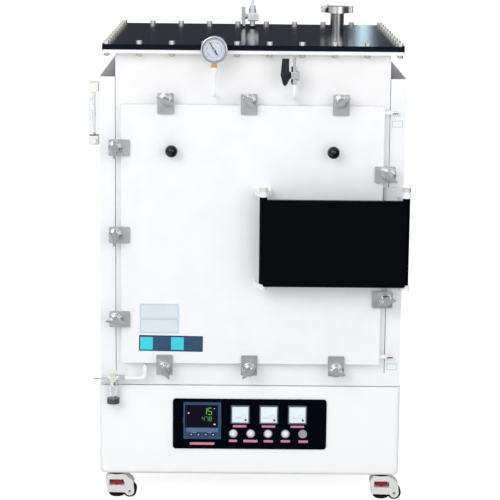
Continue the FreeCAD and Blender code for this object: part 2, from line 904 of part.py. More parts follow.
def arm_bracket():
    """The welded bracket on the cabinet: two lugs joined by a slanted web, with the pivot pin."""
    nose = bracket_nose / 2
    tip = pivot_y - nose
    low = arm_bottom - lug_play - bracket_lug_thickness
    high = barrel_top + lug_play
    lugs = []
    for z in (low, high):
        arc = Part.Arc(v(right_pivot - nose, pivot_y, z), v(right_pivot, tip, z),
                       v(right_pivot + nose, pivot_y, z)).toShape()
        corners = [v(right_pivot + nose, pivot_y, z), v(half_cabinet, -nose, z),
                   v(half_cabinet, 0, z), v(bracket_root, 0, z), v(right_pivot - nose, pivot_y, z)]
        lines = [Part.makeLine(corners[i], corners[i + 1]) for i in range(len(corners) - 1)]
        lugs.append(Part.Face(Part.Wire([arc] + lines)).extrude(Z_AXIS * bracket_lug_thickness))
    lean = (right_pivot - nose - bracket_root) / pivot_reach
    far = bracket_root + lean * bracket_web_reach
    web = polygon([v(bracket_root, 0, low), v(bracket_root + bracket_web, 0, low),
                   v(far + bracket_web, -bracket_web_reach, low),
                   v(far, -bracket_web_reach, low)]).extrude(
                       Z_AXIS * (high - low + bracket_lug_thickness))
    back = block(bracket_root, half_cabinet, -bracket_web, 0, low, high + bracket_lug_thickness)
    pin_top = high + bracket_lug_thickness
    pin = rod(v(right_pivot, pivot_y, low), Z_AXIS, pin_diameter, pin_top - low)
    head = hexagon(v(right_pivot, pivot_y, pin_top), Z_AXIS, head_flats, head_height)
    return fuse(lugs[0], lugs[1], web, back, pin, head)


def swing_arm():
    """The box-section arm: a pivot barrel at each end and a rounded plate along its front."""
    back = pivot_y + barrel_diameter / 2 + lug_play / 2
    front = back - arm_thickness
    body = block(left_pivot, right_pivot, front, back, arm_bottom, arm_top)
    plate = rounded(left_pivot, right_pivot, front - arm_plate_thickness, front,
                    arm_bottom - arm_plate_drop, arm_top + arm_plate_rise,
                    arm_plate_corner, Y_AXIS)
    barrels = []
    bores = []
    for x in (left_pivot, right_pivot):
        barrels.append(rod(v(x, pivot_y, arm_bottom), Z_AXIS,
                           barrel_diameter, barrel_top - arm_bottom))
        bores.append(rod(v(x, pivot_y, arm_bottom - 1), Z_AXIS,
                         pin_diameter + 2 * pin_play, barrel_top - arm_bottom + 2))
    return cut(fuse(body, plate, *barrels), *bores)


# Control panel

def control_panel():
    """The black instrument plate with its cut-outs."""
    plate = rounded(-panel_width / 2, panel_width / 2, panel_face, 0,
                    panel_z, panel_z + panel_height, panel_corner, Y_AXIS)
    z = base_bottom + controller_height
    half = controller_body / 2
    tools = [block(controller_x - half, controller_x + half, panel_face - 1, 1, z - half, z + half)]
    z = base_bottom + meter_height
    for x in meter_xs:
        tools.append(rod(v(x, panel_face - 1, z), Y_AXIS, meter_body, panel_thickness + 2))
    z = base_bottom + round_control_height
    for x in round_control_xs:
        tools.append(rod(v(x, panel_face - 1, z), Y_AXIS, control_neck, panel_thickness + 2))
    return cut(plate, *tools)


def temperature_controller():
    """Panel controller: bezel with a recessed screen, a row of keys, side latches and body."""
    z = base_bottom + controller_height
    half = controller_size / 2
    front = panel_face - controller_bezel
    bezel = rounded(controller_x - half, controller_x + half, front, panel_face,
                    z - half, z + half, 3.0, Y_AXIS)
    screen_z = z + half - screen_top_margin - screen_height
    screen = block(controller_x - screen_width / 2, controller_x + screen_width / 2,
                   front - 1, front + screen_recess, screen_z, screen_z + screen_height)
    body_half = controller_body / 2
    body = block(controller_x - body_half, controller_x + body_half, panel_face, controller_depth,
                 z - body_half, z + body_half)
    keys = []
    key_z = z - half + key_margin
    for i in range(key_count):
        x = controller_x + (i - (key_count - 1) / 2) * key_pitch
        keys.append(rod(v(x, front, key_z), TO_FRONT, key_diameter, 1.2))
    latches = block(controller_x - half - latch_width, controller_x + half + latch_width,
                    panel_face - latch_depth, panel_face, z - latch_height / 2, z + latch_height / 2)
    return fuse(cut(bezel, screen), body, latches, *keys)


def panel_meters():
    """Three square panel meters with a sunk dial and a round body behind the plate."""
    meters = []
    z = base_bottom + meter_height
    half = meter_size / 2
    front = panel_face - meter_bezel
    for x in meter_xs:
        bezel = rounded(x - half, x + half, front, panel_face, z - half, z + half, 2.5, Y_AXIS)
        dial = block(x - half + 3, x + half - 3, front - 1, front + 2, z - half + 3, z + half - 3)
        body = rod(v(x, panel_face, z), Y_AXIS, meter_body, meter_depth)
        meters.append(fuse(cut(bezel, dial), body))
    return group(*meters)


def control_bezel(x):
    """The fixed collar of one round control, with its neck through the plate."""
    z = base_bottom + round_control_height
    ring = rod(v(x, panel_face, z), TO_FRONT, bezel_diameter, bezel_rise)
    neck = rod(v(x, panel_face, z), Y_AXIS, control_neck, control_depth)
    return fuse(ring, neck)


def bezels_and_lamps():
    """Two pilot lamps, and the collars and contact blocks of the buttons and the key switch."""
    pieces = []
    z = base_bottom + round_control_height
    face = panel_face - bezel_rise
    for x in round_control_xs[:2]:
        lens = Part.makeSphere(bezel_bore, v(x, face + bezel_bore * 0.85, z), TO_FRONT, 0, 90, 360)
        lens = lens.common(rod(v(x, face + 1, z), TO_FRONT, bezel_bore, button_rise))
        pieces.append(fuse(control_bezel(x), lens))
    for x in round_control_xs[2:]:
        bore = rod(v(x, face - 1, z), Y_AXIS, bezel_bore, bezel_rise + control_depth / 2 + 1)
        pieces.append(cut(control_bezel(x), bore))
    return group(*pieces)


def push_button(x):
    """A round button cap that sinks into its collar."""
    z = base_bottom + round_control_height
    face = panel_face - bezel_rise - 1.0
    cap = rod(v(x, face, z), Y_AXIS, bezel_bore - 2 * button_play, button_rise + bezel_rise)
    rim = [edge for edge in cap.Edges if abs(edge.BoundBox.YMax - face) < 0.01]
    cap = cap.makeFillet(0.8, rim)
    plunger_start = face + button_rise + bezel_rise
    end = panel_face + control_depth / 2 - button_stroke - button_play
    plunger = rod(v(x, plunger_start, z), Y_AXIS, bezel_bore / 2, end - plunger_start)
    return fuse(cap, plunger)


def key_switch():
    """The lock barrel with its key slot and a small raised key stop."""
    x = round_control_xs[4]
    z = base_bottom + round_control_height
    face = panel_face - bezel_rise - 1.5
    barrel = rod(v(x, face, z), Y_AXIS, bezel_bore - 2 * button_play, control_depth / 2 + bezel_rise)
    slot = block(x - 1.2, x + 1.2, face - 1, face + 6, z - 5, z + 5)
    marker = block(x - 1.0, x + 1.0, face - 0.8, face, z + 5.6, z + 8)
    return fuse(cut(barrel, slot), marker)


def power_unit():
    """Transformer of the heating circuit: laminated core, two coils and mounting feet."""
    z0 = base_bottom + base_floor
    y0 = cabinet_depth / 2 - core_depth / 2
    half = core_width / 2
    window = (core_width - 3 * core_limb) / 2
    core_z = z0 + power_foot
    core = block(-half, half, y0, y0 + core_depth, core_z, core_z + core_height)
    tools = []
    for side in (-1, 1):
        x = side * (core_limb + window) / 2
        tools.append(block(x - window / 2, x + window / 2, y0 - 1, y0 + core_depth + 1,
                           core_z + core_limb, core_z + core_height - core_limb))
    coil = rounded(-core_limb / 2 - coil_wall, core_limb / 2 + coil_wall,
                   y0 - coil_wall, y0 + core_depth + coil_wall,
                   core_z + core_limb + 2, core_z + core_height - core_limb - 2, 10.0, Z_AXIS)
    feet = []
    for side in (-1, 1):
        feet.append(block(side * half - core_limb / 2, side * half + core_limb / 2,
                          y0, y0 + core_depth, z0, core_z))
    return fuse(cut(core, *tools), coil, *feet)


# Gauge, valves and port

def front_pipe(x, top, entry, diameter):
    """A painted pipe that rises in front of the chamber from an elbow in its face."""
    bend = diameter * 1.5
    riser = rod(v(x, -front_pipe_reach, entry + bend), Z_AXIS, diameter, top - entry - bend)
    corner = elbow(v(x, -front_pipe_reach, entry), TO_FRONT, Z_AXIS, diameter, bend)
    run = rod(v(x, 0, entry), TO_FRONT, diameter, front_pipe_reach - bend)
    return [riser, corner, run]


def gauge_body():
    """Dial gauge with a rim and sunk dial, its hexagon, socket and bent pipe to the chamber."""
    middle = -front_pipe_reach
    face = middle - gauge_thickness / 2
    case = rod(v(gauge_x, face, gauge_height), Y_AXIS, gauge_diameter, gauge_thickness)
    rim = [edge for edge in case.Edges if abs(edge.BoundBox.YMax - face) < 0.01]
    case = case.makeFillet(2.0, rim)
    sunk = rod(v(gauge_x, face - 1, gauge_height), Y_AXIS,
               gauge_diameter - 2 * gauge_rim, gauge_recess + 1)
    hub = rod(v(gauge_x, face + gauge_recess, gauge_height), TO_FRONT, 3.0, 1.5)
    spindle = rod(v(gauge_x, face + gauge_recess, gauge_height), TO_FRONT, pointer_spindle, 3.0)
    stem_length = gauge_height - gauge_diameter / 2 - gauge_hex_bottom + 5
    stem = hexagon(v(gauge_x, middle, gauge_hex_bottom), Z_AXIS, 13.0, stem_length)
    taper = cone(v(gauge_x, middle, gauge_socket_bottom), Z_AXIS,
                 gauge_socket_foot, gauge_socket_diameter, gauge_socket_taper)
    taper_top = gauge_socket_bottom + gauge_socket_taper
    socket = rod(v(gauge_x, middle, taper_top), Z_AXIS,
                 gauge_socket_diameter, gauge_hex_bottom - taper_top)
    pipe = front_pipe(gauge_x, gauge_socket_bottom, gauge_pipe_entry, gauge_pipe_diameter)
    return fuse(cut(case, sunk), hub, spindle, stem, socket, taper, *pipe)


def gauge_pointer():
    """The pointer on its spindle boss, turned to its reading."""
    face = -front_pipe_reach - gauge_thickness / 2 + gauge_recess
    y = face - 1.5 - running_gap
    hand = polygon([v(-1.6, y, -pointer_tail), v(1.6, y, -pointer_tail),
                    v(0.5, y, pointer_length), v(-0.5, y, pointer_length)])
    hand = hand.extrude(TO_FRONT * 0.8)
    boss = rod(v(0, y, 0), TO_FRONT, 6.0, 1.6)
    bore = rod(v(0, y + 1, 0), TO_FRONT, pointer_spindle + 2 * pin_play, 4.0)
    pointer = cut(fuse(hand, boss), bore)
    pointer.rotate(v(0, 0, 0), TO_FRONT, pointer_angle - 90)
    pointer.translate(v(gauge_x, 0, gauge_height))
    return pointer


def vent_valve_body():
    """Quarter-turn valve in front of the chamber: body, two nuts, outlet tube and bent pipe."""
    y = -front_pipe_reach
    half = vent_body / 2
    x0 = vent_x - vent_body_width / 2
    x1 = x0 + vent_body_width
    body = rounded(x0, x1, y - half, y + half,
                   vent_height - half, vent_height + half, 2.0, X_AXIS)
    plate_half = vent_plate / 2
    plate = rounded(x1, x1 + vent_plate_width, y - plate_half, y + plate_half,
                    vent_height - plate_half, vent_height + plate_half, 2.0, X_AXIS)
    upper = hexagon(v(vent_x, y, vent_height + half), Z_AXIS, vent_nut_flats, vent_nut_height)
    lower = hexagon(v(vent_x, y, vent_height - half - vent_nut_height), Z_AXIS,
                    vent_nut_flats, vent_nut_height)
    tube_start = vent_height + half + vent_nut_height
    outlet = rod(v(vent_x, y, tube_start), Z_AXIS, tube_diameter, vent_tube_top - tube_start)
    bore = rod(v(vent_x, y, tube_start), Z_AXIS, tube_diameter - 2, vent_tube_top - tube_start + 1)
    stem = rod(v(x0, y, vent_height), TO_LEFT, vent_stem_diameter, vent_stem_length + stem_grip)
    pipe = front_pipe(vent_x, vent_height - half - vent_nut_height, vent_pipe_entry,
                      vent_pipe_diameter)
    return fuse(body, plate, upper, lower, cut(outlet, bore), stem, *pipe)


def vent_valve_handle():
    """The moulded lever: straight long end, pointed short end, flared hub towards the stem."""
    hub_start = vent_x - vent_body_width / 2 - vent_stem_length - running_gap
    x1 = hub_start - vent_hub_length
    x0 = x1 - vent_lever_width
    y = -front_pipe_reach
    z = vent_height
    half = vent_lever_thickness / 2
    tip = vent_lever_tip_thickness / 2
    up = z + vent_lever_up
    down = z - vent_lever_down
    shoulder = z - vent_lever_shoulder
    side = polygon([v(x1, y - half, up), v(x0, y - half, up), v(x0 - vent_lever_belly, y - half, z),
                    v(x0 + vent_lever_belly / 2, y - half, shoulder),
                    v(x1 - vent_lever_tip_x, y - half, down),
                    v(x1 - vent_lever_belly, y - half, shoulder),
                    v(x1, y - half, z - vent_hub_flare / 2)]).extrude(Y_AXIS * 2 * half)
    edge = polygon([v(x0 - vent_lever_belly, y - half, up), v(x0 - vent_lever_belly, y + half, up),
                    v(x0 - vent_lever_belly, y + half, z), v(x0 - vent_lever_belly, y + tip, down),
                    v(x0 - vent_lever_belly, y - tip, down),
                    v(x0 - vent_lever_belly, y - half, z)]).extrude(
                        X_AXIS * (vent_lever_width + vent_lever_belly))
    hub = cone(v(hub_start, y, z), TO_LEFT, vent_hub_diameter, vent_hub_flare, vent_hub_length)
    bore = rod(v(hub_start + 1, y, z), TO_LEFT, vent_stem_diameter + 2 * pin_play,
               stem_grip + 1 + running_gap)
    return cut(fuse(side.common(edge), hub), bore)


def top_valve_body():
    """Ball valve on the cover: neck, block body, tall nut and tube."""
    x = top_valve_x
    y = top_valve_depth
    z1 = cover_top + top_neck_rise
    z2 = z1 + top_body_height
    z3 = z2 + top_nut_height + top_gland_height
    half = top_body_width / 2
    neck = rod(v(x, y, flange_top), Z_AXIS, top_neck_diameter, z1 - flange_top)
    left = x + top_body_offset - half
    body = rounded(left, left + top_body_width, y - top_body_height / 2, y + top_body_height / 2,
                   z1, z2, 3.0, X_AXIS)
    nut = hexagon(v(x, y, z2), Z_AXIS, top_nut_flats, top_nut_height)
    gland = hexagon(v(x, y, z2 + top_nut_height), Z_AXIS, top_gland_flats, top_gland_height)
    tube = rod(v(x, y, z3), Z_AXIS, tube_diameter, top_tube_rise)
    bore = rod(v(x, y, z3), Z_AXIS, tube_diameter - 2, top_tube_rise + 1)
    stem = rod(v(left, y, (z1 + z2) / 2 + top_stem_raise), TO_LEFT,
               top_stem_diameter, top_stem_length + stem_grip)
    return fuse(neck, body, nut, gland, cut(tube, bore), stem)


def top_valve_handle():
    """The bar handle of the cover's ball valve: tapered hub, wide upper end, slim lower end."""
    z = cover_top + top_neck_rise + top_body_height / 2 + top_stem_raise
    y = top_valve_depth
    hub_start = top_valve_x + top_body_offset - top_body_width / 2 - running_gap
    hub_length = top_stem_length
    x1 = hub_start - hub_length
    x0 = x1 - top_lever_width
    half = top_lever_length / 2
    side = polygon([v(x0, y, z + half), v(x1, y, z + half), v(x1, y, z - half),
                    v(x1 - top_lever_foot, y, z - half), v(x0, y, z - top_hub_diameter / 2)])
    bar = side.extrude(Y_AXIS * top_lever_thickness)
    bar.translate(v(0, -top_lever_thickness / 2, 0))
    bar = bar.makeFillet(1.5, edges_along(bar, Y_AXIS))
    hub = cone(v(hub_start, y, z), TO_LEFT, top_hub_tip, top_hub_diameter, hub_length)
    bore = rod(v(hub_start + 1, y, z), TO_LEFT, top_stem_diameter + 2 * pin_play,
               top_stem_length + stem_grip + 1 + running_gap)
    return cut(fuse(bar, hub), bore)


def vacuum_port():
    """The port's tube through the cover, its clamping flange and a blank on its centring ring."""
    z = cover_top + port_rise
    inner = port_tube_diameter - 2 * port_tube_wall
    tube = rod(v(port_x, port_depth, flange_top), Z_AXIS, port_tube_diameter, z - flange_top)
    rim = port_flange_rim
    slope = port_flange_height - rim
    skirt = cone(v(port_x, port_depth, z - slope), Z_AXIS,
                 port_tube_diameter + 4, port_flange_diameter, slope)
    flange = rod(v(port_x, port_depth, z), Z_AXIS, port_flange_diameter, rim)
    bore = rod(v(port_x, port_depth, flange_top - 1), Z_AXIS, inner, z + rim - flange_top + 2)
    ring = rod(v(port_x, port_depth, z + rim), Z_AXIS, port_flange_diameter - 6, 2.0)
    blank = fuse(rod(v(port_x, port_depth, z + rim + 2), Z_AXIS, port_flange_diameter, rim),
                 cone(v(port_x, port_depth, z + 2 * rim + 2), Z_AXIS,
                      port_flange_diameter, port_tube_diameter + 4, slope))
    return group(cut(fuse(tube, skirt, flange), bore), fuse(ring, blank))


def port_clamp():
    """The hinged clamp ring over both flanges, with its lugs, swing bolt and wing nut."""
    z_middle = cover_top + port_rise + port_flange_rim + 1.0
    low = z_middle - clamp_ring_height / 2
    ring = rod(v(port_x, port_depth, low), Z_AXIS, clamp_ring_diameter, clamp_ring_height)
    bore = rod(v(port_x, port_depth, low - 1), Z_AXIS,
               port_flange_diameter + 2 * running_gap, clamp_ring_height + 2)
    lug_x = port_x - clamp_reach
    lug = rounded(lug_x, port_x - port_flange_diameter / 2 + clamp_ring_wall,
                  port_depth - clamp_hinge_depth / 2, port_depth + clamp_hinge_depth / 2,
                  low + 1, low + clamp_ring_height - 1, 2.0, Y_AXIS)
    split = block(lug_x - 1, port_x - port_flange_diameter / 2,
                  port_depth - clamp_split / 2, port_depth + clamp_split / 2,
                  low - 1, low + clamp_ring_height + 1)
    barrel = clamp_reach - clamp_ring_diameter / 2
    hinge_x = port_x + clamp_reach - barrel / 2
    hinge = fuse(rod(v(hinge_x, port_depth, low), Z_AXIS, barrel, clamp_ring_height),
                 block(port_x + port_flange_diameter / 2, hinge_x,
                       port_depth - barrel / 2, port_depth + barrel / 2,
                       low, low + clamp_ring_height))
    bolt_x = lug_x + clamp_ring_wall + 3
    bolt = rod(v(bolt_x, port_depth - clamp_hinge_depth, z_middle), Y_AXIS,
               5.0, 2 * clamp_hinge_depth)
    wing = block(bolt_x - 2, bolt_x + 2, port_depth - clamp_hinge_depth - 8,
                 port_depth - clamp_hinge_depth / 2, z_middle - 9, z_middle + wing_nut_reach)
    wing.rotate(v(bolt_x, port_depth, z_middle), TO_FRONT, -wing_nut_lean)
    return fuse(cut(fuse(ring, lug, hinge), bore, split), bolt, wing)


# Gas inlet and flow meter

def gas_inlet():
    """Tube, needle valve and painted pipe that enters the chamber's face below the door."""
    y = -inlet_reach
    z = inlet_z
    tube = rod(v(inlet_left, y, z), X_AXIS, tube_diameter, inlet_nut_left - inlet_left)
    bore = rod(v(inlet_left - 1, y, z), X_AXIS, tube_diameter - 2, inlet_nut_left - inlet_left + 1)
    left_nut = hexagon(v(inlet_nut_left, y, z), X_AXIS, inlet_nut_flats, inlet_nut_length)
    reach = inlet_body_x - inlet_nut_left - inlet_nut_length
    right_nut_x = inlet_body_x + reach
    core = rod(v(inlet_nut_left + inlet_nut_length, y, z), X_AXIS, 10.0, 2 * reach)
    body = rod(v(inlet_body_x, y - inlet_body_length / 2, z), Y_AXIS,
               inlet_body_diameter, inlet_body_length)
    right_nut = hexagon(v(right_nut_x, y, z), X_AXIS, inlet_nut_flats, inlet_nut_length)
    bend = inlet_pipe_diameter
    run_start = right_nut_x + inlet_nut_length
    run = rod(v(run_start, y, z), X_AXIS, inlet_pipe_diameter, inlet_riser_x - bend - run_start)
    turn_up = elbow(v(inlet_riser_x, y, z), X_AXIS, Z_AXIS, inlet_pipe_diameter, bend)
    riser = rod(v(inlet_riser_x, y, z + bend), Z_AXIS,
                inlet_pipe_diameter, inlet_entry - z - 2 * bend)
    turn_in = elbow(v(inlet_riser_x, y, inlet_entry), Z_AXIS, Y_AXIS, inlet_pipe_diameter, bend)
    entry = rod(v(inlet_riser_x, y + bend, inlet_entry), Y_AXIS,
                inlet_pipe_diameter, inlet_reach - bend)
    collar = rod(v(inlet_riser_x, -inlet_collar_length, inlet_entry), Y_AXIS,
                 inlet_collar_diameter, inlet_collar_length)
    ring = rod(v(right_nut_x - inlet_ring_width, y, z), X_AXIS, inlet_ring_diameter, inlet_ring_width)
    neck = rod(v(inlet_body_x, y, z), DOWN, inlet_neck_diameter, inlet_neck_drop)
    bonnet_top = z - inlet_neck_drop
    packing_top = bonnet_top - stem_drop
    bonnet = hexagon(v(inlet_body_x, y, bonnet_top), DOWN, stem_flats, stem_drop)
    packing = hexagon(v(inlet_body_x, y, packing_top), DOWN, packing_flats, packing_drop)
    spindle = rod(v(inlet_body_x, y, packing_top - packing_drop), DOWN, spindle_diameter, spindle_drop)
    return fuse(cut(tube, bore), left_nut, core, body, ring, right_nut, run, turn_up, riser, turn_in,
                entry, collar, neck, bonnet, packing, spindle)


def needle_valve_knob():
    """The knurled knob under the needle valve, bored to run on its spindle."""
    top = inlet_z - inlet_neck_drop - stem_drop - packing_drop - spindle_drop + 5.0
    grip = fluted(v(inlet_body_x, -inlet_reach, top), DOWN,
                  needle_knob_diameter, needle_knob_height, needle_knob_flutes, 1.2)
    bore = rod(v(inlet_body_x, -inlet_reach, top + 1), DOWN,
               spindle_diameter + 2 * pin_play, 6.0 + running_gap)
    return cut(grip, bore)


def flow_meter():
    """Variable-area flow meter: clear block with its tube and float, two end blocks, two ports."""
    x0 = meter_block_left
    x1 = x0 + meter_block_width
    y0 = meter_block_front
    y1 = y0 + meter_block_depth
    z0 = meter_block_bottom
    z3 = z0 + meter_block_height
    z1 = z0 + meter_end_height
    z2 = z3 - meter_end_height
    middle_x = (x0 + x1) / 2
    middle_y = (y0 + y1) / 2
    tube = block(x0 + 1, x1 - 1, y0 + 1, y1 - 1, z1, z2)
    channel = rod(v(middle_x, middle_y, z1), Z_AXIS, meter_channel, z2 - z1)
    ball = Part.makeSphere(float_diameter / 2, v(middle_x, middle_y, z1 + float_diameter / 2))
    lower = rounded(x0, x1, y0, y1, z0, z1, 2.0, Z_AXIS)
    upper = rounded(x0, x1, y0, y1, z2, z3, 2.0, Z_AXIS)
    stem = rod(v(middle_x, y0, (z0 + z1) / 2), TO_FRONT, flow_stem_diameter, 6.0)
    ports = []
    for z in ((z0 + z1) / 2, (z2 + z3) / 2):
        ports.append(rod(v(x1, middle_y, z), X_AXIS, flow_port_diameter, -half_cabinet - x1))
    return group(cut(tube, channel), ball, fuse(lower, stem, ports[0]), fuse(upper, ports[1]))


def flow_meter_knob():
    """The small control knob at the foot of the flow meter."""
    x = meter_block_left + meter_block_width / 2
    z = meter_block_bottom + meter_end_height / 2
    start = meter_block_front - running_gap
    grip = fluted(v(x, start, z), TO_FRONT, flow_knob_diameter, flow_knob_length, 10, 0.8)
    bore = rod(v(x, start + 1, z), TO_FRONT, flow_stem_diameter + 2 * pin_play, 7.0 + running_gap)
    return cut(grip, bore)


# Casters

def caster_fork(x, y):
    """The cast housing: swivel head, window for the thumb wheel, cheeks for the road wheel."""
    left = -fork_left
    head = bearing_diameter / 2
    axle = v(trail, 0, wheel_z)
    half_width = fork_width / 2
    window_middle = (thumb_window_bottom + thumb_window_top) / 2
    outline = [v(left + fork_lean, 0, fork_bottom + fork_step),
               v(left + fork_lean, 0, thumb_window_bottom - fork_step),
               v(left, 0, window_middle),
               v(left, 0, thumb_window_top + fork_step / 2),
               v(left + fork_chamfer, 0, fork_top - fork_chamfer),
               v(-head, 0, fork_top), v(head, 0, fork_top),
               v(head + fork_shoulder, 0, fork_top - fork_chamfer),
               v(trail + fork_brow, 0, thumb_window_top - fork_step),
               v(trail + fork_nose, 0, window_middle),
               v(trail + cheek_radius, 0, wheel_z), v(trail, 0, fork_bottom),
               v(trail - cheek_radius / 2, 0, fork_bottom - fork_step),
               v(trail - 0.8 * cheek_radius, 0, fork_bottom + fork_step / 2)]
    profile = polygon(outline).extrude(Y_AXIS * fork_width)
    profile.translate(v(0, -half_width, 0))
    cheek = rod(v(trail, -half_width, wheel_z), Y_AXIS, 2 * cheek_radius, fork_width)
    bearing = rod(v(0, 0, fork_top), Z_AXIS, bearing_diameter, base_bottom - running_gap - fork_top)
    pivot = rod(v(0, 0, base_bottom - running_gap), Z_AXIS,
                pin_diameter - 2 * pin_play, king_pin_length)
    body = fuse(profile, cheek, bearing, pivot)
    slot_half = wheel_width / 2 + wheel_gap
    slot = rod(v(trail, -slot_half, wheel_z), Y_AXIS, wheel_diameter + 4 * wheel_gap, 2 * slot_half)
    lower = block(trail - wheel_diameter / 2, trail + wheel_diameter, -slot_half, slot_half,
                  0, wheel_z)
    cavity_radius = thumb_diameter / 2 + 1
    cavity = rod(v(0, 0, thumb_window_bottom), Z_AXIS, 2 * cavity_radius,
                 thumb_window_top - thumb_window_bottom)
    window = block(-cavity_radius, cavity_radius + 2, -fork_width, fork_width,
                   thumb_window_bottom, thumb_window_top)
    spindle = rod(v(0, 0, 0), Z_AXIS, leveller_spindle + 2 * hub_bore_play + 0.5, fork_top - 5)
    body = cut(body, slot, lower, cavity, window, spindle)
    pin = rod(axle - v(0, slot_half + 1, 0), Y_AXIS, axle_diameter, 2 * slot_half + 2)
    heads = [rod(axle - v(0, half_width + axle_head, 0), Y_AXIS, axle_head_diameter, axle_head),
             rod(axle + v(0, half_width, 0), Y_AXIS, axle_head_diameter, axle_head)]
    body = fuse(body, pin, *heads)
    body.translate(v(x, y, 0))
    return body


def caster_wheel(x, y):
    """The road wheel: dished sides, rounded tread and a bore on the axle."""
    half = wheel_width / 2
    tyre = rod(v(x + trail, y - half, wheel_z), Y_AXIS, wheel_diameter, wheel_width)
    rims = [edge for edge in tyre.Edges if edge.Curve.TypeId == "Part::GeomCircle"]
    tyre = tyre.makeFillet(2.0, rims)
    tools = [rod(v(x + trail, y - half - 1, wheel_z), Y_AXIS,
                 axle_diameter + 2 * hub_bore_play, wheel_width + 2)]
    for start, axis in ((y - half, Y_AXIS), (y + half, TO_FRONT)):
        dish = rod(v(x + trail, start, wheel_z), axis, wheel_diameter * 0.7, 2.0)
        hub = rod(v(x + trail, start, wheel_z), axis, axle_diameter * 2, 2.0)
        tools.append(cut(dish, hub))
    return cut(tyre, *tools)


def caster_leveller(x, y):
    """Foot pad, spindle and fluted thumb wheel."""
    pad_top = pad_clear + pad_thickness
    pad = rod(v(x, y, pad_clear), Z_AXIS, pad_diameter, pad_thickness)
    rim = [edge for edge in pad.Edges
           if edge.Curve.TypeId == "Part::GeomCircle" and edge.BoundBox.ZMax < pad_clear + 0.01]
    pad = pad.makeChamfer(pad_bevel, rim)
    notch_half = wheel_width / 2 + pad_play
    pad = cut(pad, rod(v(x + trail, y - notch_half, wheel_z), Y_AXIS,
                       wheel_diameter + 2 * pad_play, 2 * notch_half))
    thumb_z = thumb_window_top - thumb_play - thumb_thickness
    thumb = fluted(v(x, y, thumb_z), Z_AXIS, thumb_diameter, thumb_thickness, thumb_flutes, 1.5)
    spindle = rod(v(x, y, pad_top - 1), Z_AXIS, leveller_spindle, fork_top - 6 - pad_top)
    return fuse(pad, thumb, spindle)


def build():
    os.makedirs("parts", exist_ok=True)
    save("base_cabinet", base_cabinet())
    save("base_rear_panel", base_rear_panel())
    save("outer_casing", outer_casing())
    save("vacuum_chamber", vacuum_chamber())
    save("cover_plate", cover_plate())
    save("cover_bolts", cover_bolts())
    save("insulation_lining", insulation_lining())
    save("heating_elements", heating_elements())
    save("thermocouple", thermocouple())
    save("door_panel", door_panel())
    save("door_seal", door_seal())
    save("door_plug", door_plug())
    save("door_lugs", door_lugs())
    save("door_pulls", door_pulls())
    save("water_nozzles", water_nozzles())
    for name, x, z, _ in clamp_places():
        save("clamp_knob_" + name, clamp_knob(x, z, clamp_turns[name]))
    save("arm_bracket", arm_bracket())
    save("swing_arm", swing_arm())
    save("control_panel", control_panel())
    save("temperature_controller", temperature_controller())
    save("panel_meters", panel_meters())
    save("bezels_and_lamps", bezels_and_lamps())
    save("push_button_1", push_button(round_control_xs[2]))
    save("push_button_2", push_button(round_control_xs[3]))
    save("key_switch", key_switch())
    save("power_unit", power_unit())
    save("gauge_body", gauge_body())
    save("gauge_pointer", gauge_pointer())
    save("vent_valve_body", vent_valve_body())
    save("vent_valve_handle", vent_valve_handle())
    save("top_valve_body", top_valve_body())
    save("top_valve_handle", top_valve_handle())
    save("vacuum_port", vacuum_port())
    save("port_clamp", port_clamp())
    save("gas_inlet", gas_inlet())
    save("needle_valve_knob", needle_valve_knob())
    save("flow_meter", flow_meter())
    save("flow_meter_knob", flow_meter_knob())
    for row, y in zip(("front", "rear"), caster_rows):
        for side, x in (("left", -caster_x), ("right", caster_x)):
            name = "caster_%s_%s" % (row, side)
            save(name + "_fork", caster_fork(x, y))
            save(name + "_wheel", caster_wheel(x, y))
            save(name + "_leveller", caster_leveller(x, y))


build()
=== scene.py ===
"""Looks of a controlled-atmosphere box furnace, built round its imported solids."""
import enum
import logging
import math
from dataclasses import dataclass
from typing import Iterable, Sequence

import bmesh
import bpy
from mathutils import Matrix, Vector


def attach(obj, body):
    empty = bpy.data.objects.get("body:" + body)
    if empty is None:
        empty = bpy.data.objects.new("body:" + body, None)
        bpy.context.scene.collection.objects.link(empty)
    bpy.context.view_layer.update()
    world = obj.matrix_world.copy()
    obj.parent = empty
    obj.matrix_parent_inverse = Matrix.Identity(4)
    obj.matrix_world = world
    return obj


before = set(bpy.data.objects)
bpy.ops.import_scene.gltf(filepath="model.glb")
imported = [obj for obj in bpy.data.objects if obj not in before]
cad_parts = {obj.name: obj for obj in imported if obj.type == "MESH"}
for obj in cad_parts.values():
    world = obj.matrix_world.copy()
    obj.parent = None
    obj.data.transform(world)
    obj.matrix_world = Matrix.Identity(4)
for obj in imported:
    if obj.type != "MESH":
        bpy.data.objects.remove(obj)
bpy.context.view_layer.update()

LOG = logging.getLogger("furnace")
FRONT_PLANE_Y = -345.0
FAR = 5000.0
# Faces that meet at less than a crease angle, in degrees, shade as one surface.
NODE_CREASE = 30.0
PIECE_CREASE = 35.0
# Where a node's edges are rounded, the rounding takes those from this angle on.
ROUNDED_FROM = 40.0
Mesh = bpy.types.Mesh
Tree = bpy.types.NodeTree
Socket = bpy.types.NodeSocket
Pair = tuple[float, float]
Point = tuple[float, float, float]
Outline = list[Pair]


def at(x: float, y: float, z: float) -> Vector:
    """A place in millimetres from the cabinet's front plane, in metres in the row frame."""
    return Vector((x, y + FRONT_PLANE_Y, z)) / 1000


def linear(hex_code: str) -> tuple[float, float, float, float]:
    """Turns an sRGB hex colour into linear values.

    Args:
        hex_code: Six hex digits after a hash sign.

    Returns:
        Linear red, green, blue and an alpha of one.
    """
    values = []
    for start in (1, 3, 5):
        part = int(hex_code[start:start + 2], 16) / 255
        values.append(part / 12.92 if part <= 0.04045 else ((part + 0.055) / 1.055) ** 2.4)
    return (values[0], values[1], values[2], 1.0)


